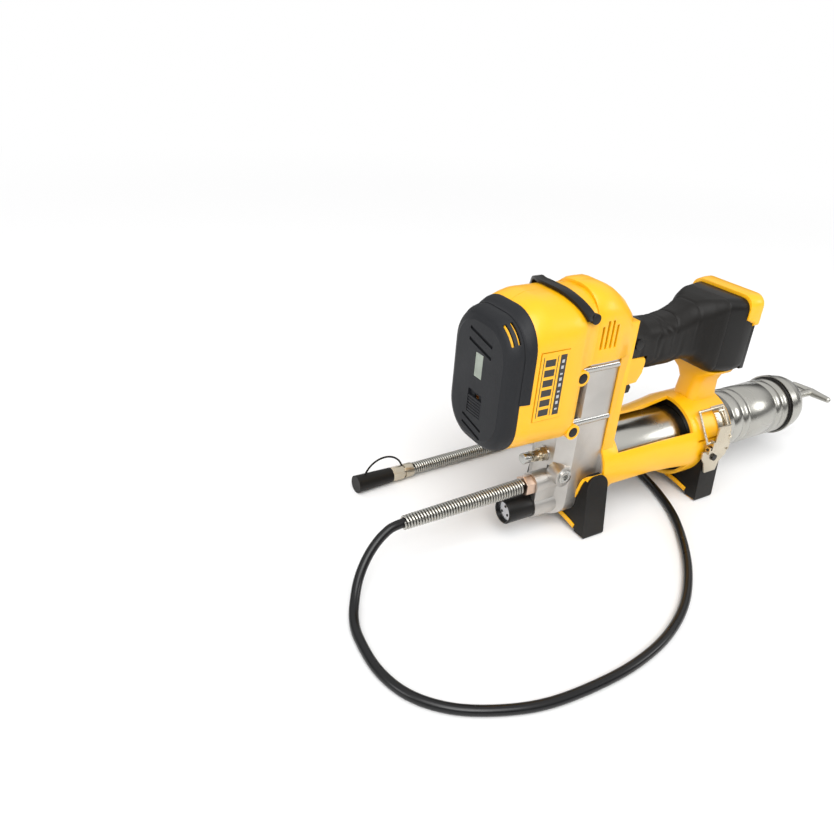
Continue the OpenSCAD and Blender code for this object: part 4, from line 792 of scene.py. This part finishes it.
# ---- stage -----------------------------------------------------------------------------------
def add_stage():
    """Pale floor that turns plain white far away, where the backdrop begins."""
    bm = bmesh.new()
    bmesh.ops.create_grid(bm, x_segments=1, y_segments=1, size=60)
    mesh = bpy.data.meshes.new("floor")
    bm.to_mesh(mesh)
    bm.free()
    floor = bpy.data.objects.new("floor", mesh)
    bpy.context.scene.collection.objects.link(floor)
    mat = bpy.data.materials.new("pale floor")
    mat.use_nodes = True
    shader = mat.node_tree.nodes["Principled BSDF"]
    shader.inputs["Base Color"].default_value = (0.86, 0.86, 0.86, 1)
    shader.inputs["Roughness"].default_value = 0.6
    shade = mat.node_tree
    place = shade.nodes.new("ShaderNodeTexCoord")
    far = shade.nodes.new("ShaderNodeVectorMath")
    far.operation = "LENGTH"
    fade = shade.nodes.new("ShaderNodeMapRange")
    fade.interpolation_type = "SMOOTHSTEP"
    fade.inputs["From Min"].default_value = 0.7
    fade.inputs["From Max"].default_value = 2.0
    white = shade.nodes.new("ShaderNodeEmission")
    both = shade.nodes.new("ShaderNodeMixShader")
    shade.links.new(place.outputs["Object"], far.inputs[0])
    shade.links.new(far.outputs["Value"], fade.inputs["Value"])
    shade.links.new(fade.outputs["Result"], both.inputs[0])
    shade.links.new(shader.outputs["BSDF"], both.inputs[1])
    shade.links.new(white.outputs["Emission"], both.inputs[2])
    shade.links.new(both.outputs["Shader"], shade.nodes["Material Output"].inputs["Surface"])
    mesh.materials.append(mat)


def link_to_scene(item, place, turn):
    item.matrix_world = Matrix.Translation(place) @ turn
    bpy.context.scene.collection.objects.link(item)


def add_light(name, place, size, watts, aim=(0.05, 0, 0.1)):
    """Round soft light, aimed at a place on the tool."""
    data = bpy.data.lights.new(name, "AREA")
    data.shape = "DISK"
    data.size = size
    data.energy = watts
    way = Vector(aim) - Vector(place)
    link_to_scene(bpy.data.objects.new(name, data), place, way.to_track_quat("-Z", "Y").to_matrix().to_4x4())


def add_sky_panel(strength, angle, lean, tip):
    """Wide even light from above."""
    data = bpy.data.lights.new("sky panel", "SUN")
    data.energy = strength
    data.angle = math.radians(angle)
    turn = Matrix.Rotation(math.radians(tip), 4, "Y") @ Matrix.Rotation(math.radians(lean), 4, "X")
    link_to_scene(bpy.data.objects.new("sky panel", data), (0, 0, 0), turn)


def add_world(fill, dim, bright):
    """White backdrop and soft fill; mirrors see dim walls below a bright ceiling."""
    world = bpy.data.worlds.new("studio")
    world.use_nodes = True
    nodes, links = world.node_tree.nodes, world.node_tree.links
    glow = nodes["Background"]
    glow.inputs["Color"].default_value = (1, 1, 1, 1)
    rays = nodes.new("ShaderNodeLightPath")
    look = nodes.new("ShaderNodeNewGeometry")
    split = nodes.new("ShaderNodeSeparateXYZ")
    height = nodes.new("ShaderNodeMath")
    height.operation = "ABSOLUTE"
    walls = nodes.new("ShaderNodeMapRange")
    walls.interpolation_type = "SMOOTHSTEP"
    for socket, value in (("From Min", 0.12), ("From Max", 0.55), ("To Min", dim), ("To Max", bright)):
        walls.inputs[socket].default_value = value
    factor, first, second = 0, 2, 3                # sockets of a mix of two values
    mirrored = nodes.new("ShaderNodeMix")
    mirrored.inputs[first].default_value = fill
    backdrop = nodes.new("ShaderNodeMix")
    backdrop.inputs[second].default_value = 1.0
    links.new(look.outputs["Incoming"], split.inputs["Vector"])
    links.new(split.outputs["Z"], height.inputs[0])
    links.new(height.outputs["Value"], walls.inputs["Value"])
    links.new(rays.outputs["Is Glossy Ray"], mirrored.inputs[factor])
    links.new(walls.outputs["Result"], mirrored.inputs[second])
    links.new(rays.outputs["Is Camera Ray"], backdrop.inputs[factor])
    links.new(mirrored.outputs[0], backdrop.inputs[first])
    links.new(backdrop.outputs[0], glow.inputs["Strength"])
    bpy.context.scene.world = world


add_stage()
add_sky_panel(2.0, 50, -28, 18)
add_light("key", (0.9, 1.2, 1.3), 0.9, 9)
add_light("front", (1.6, 0.1, 0.7), 0.7, 5)
add_light("rear", (-1.2, 0.9, 0.8), 0.6, 4, aim=(-0.1, 0, 0.1))
add_world(fill=0.55, dim=0.06, bright=0.95)
bpy.context.scene.view_settings.view_transform = "Standard"
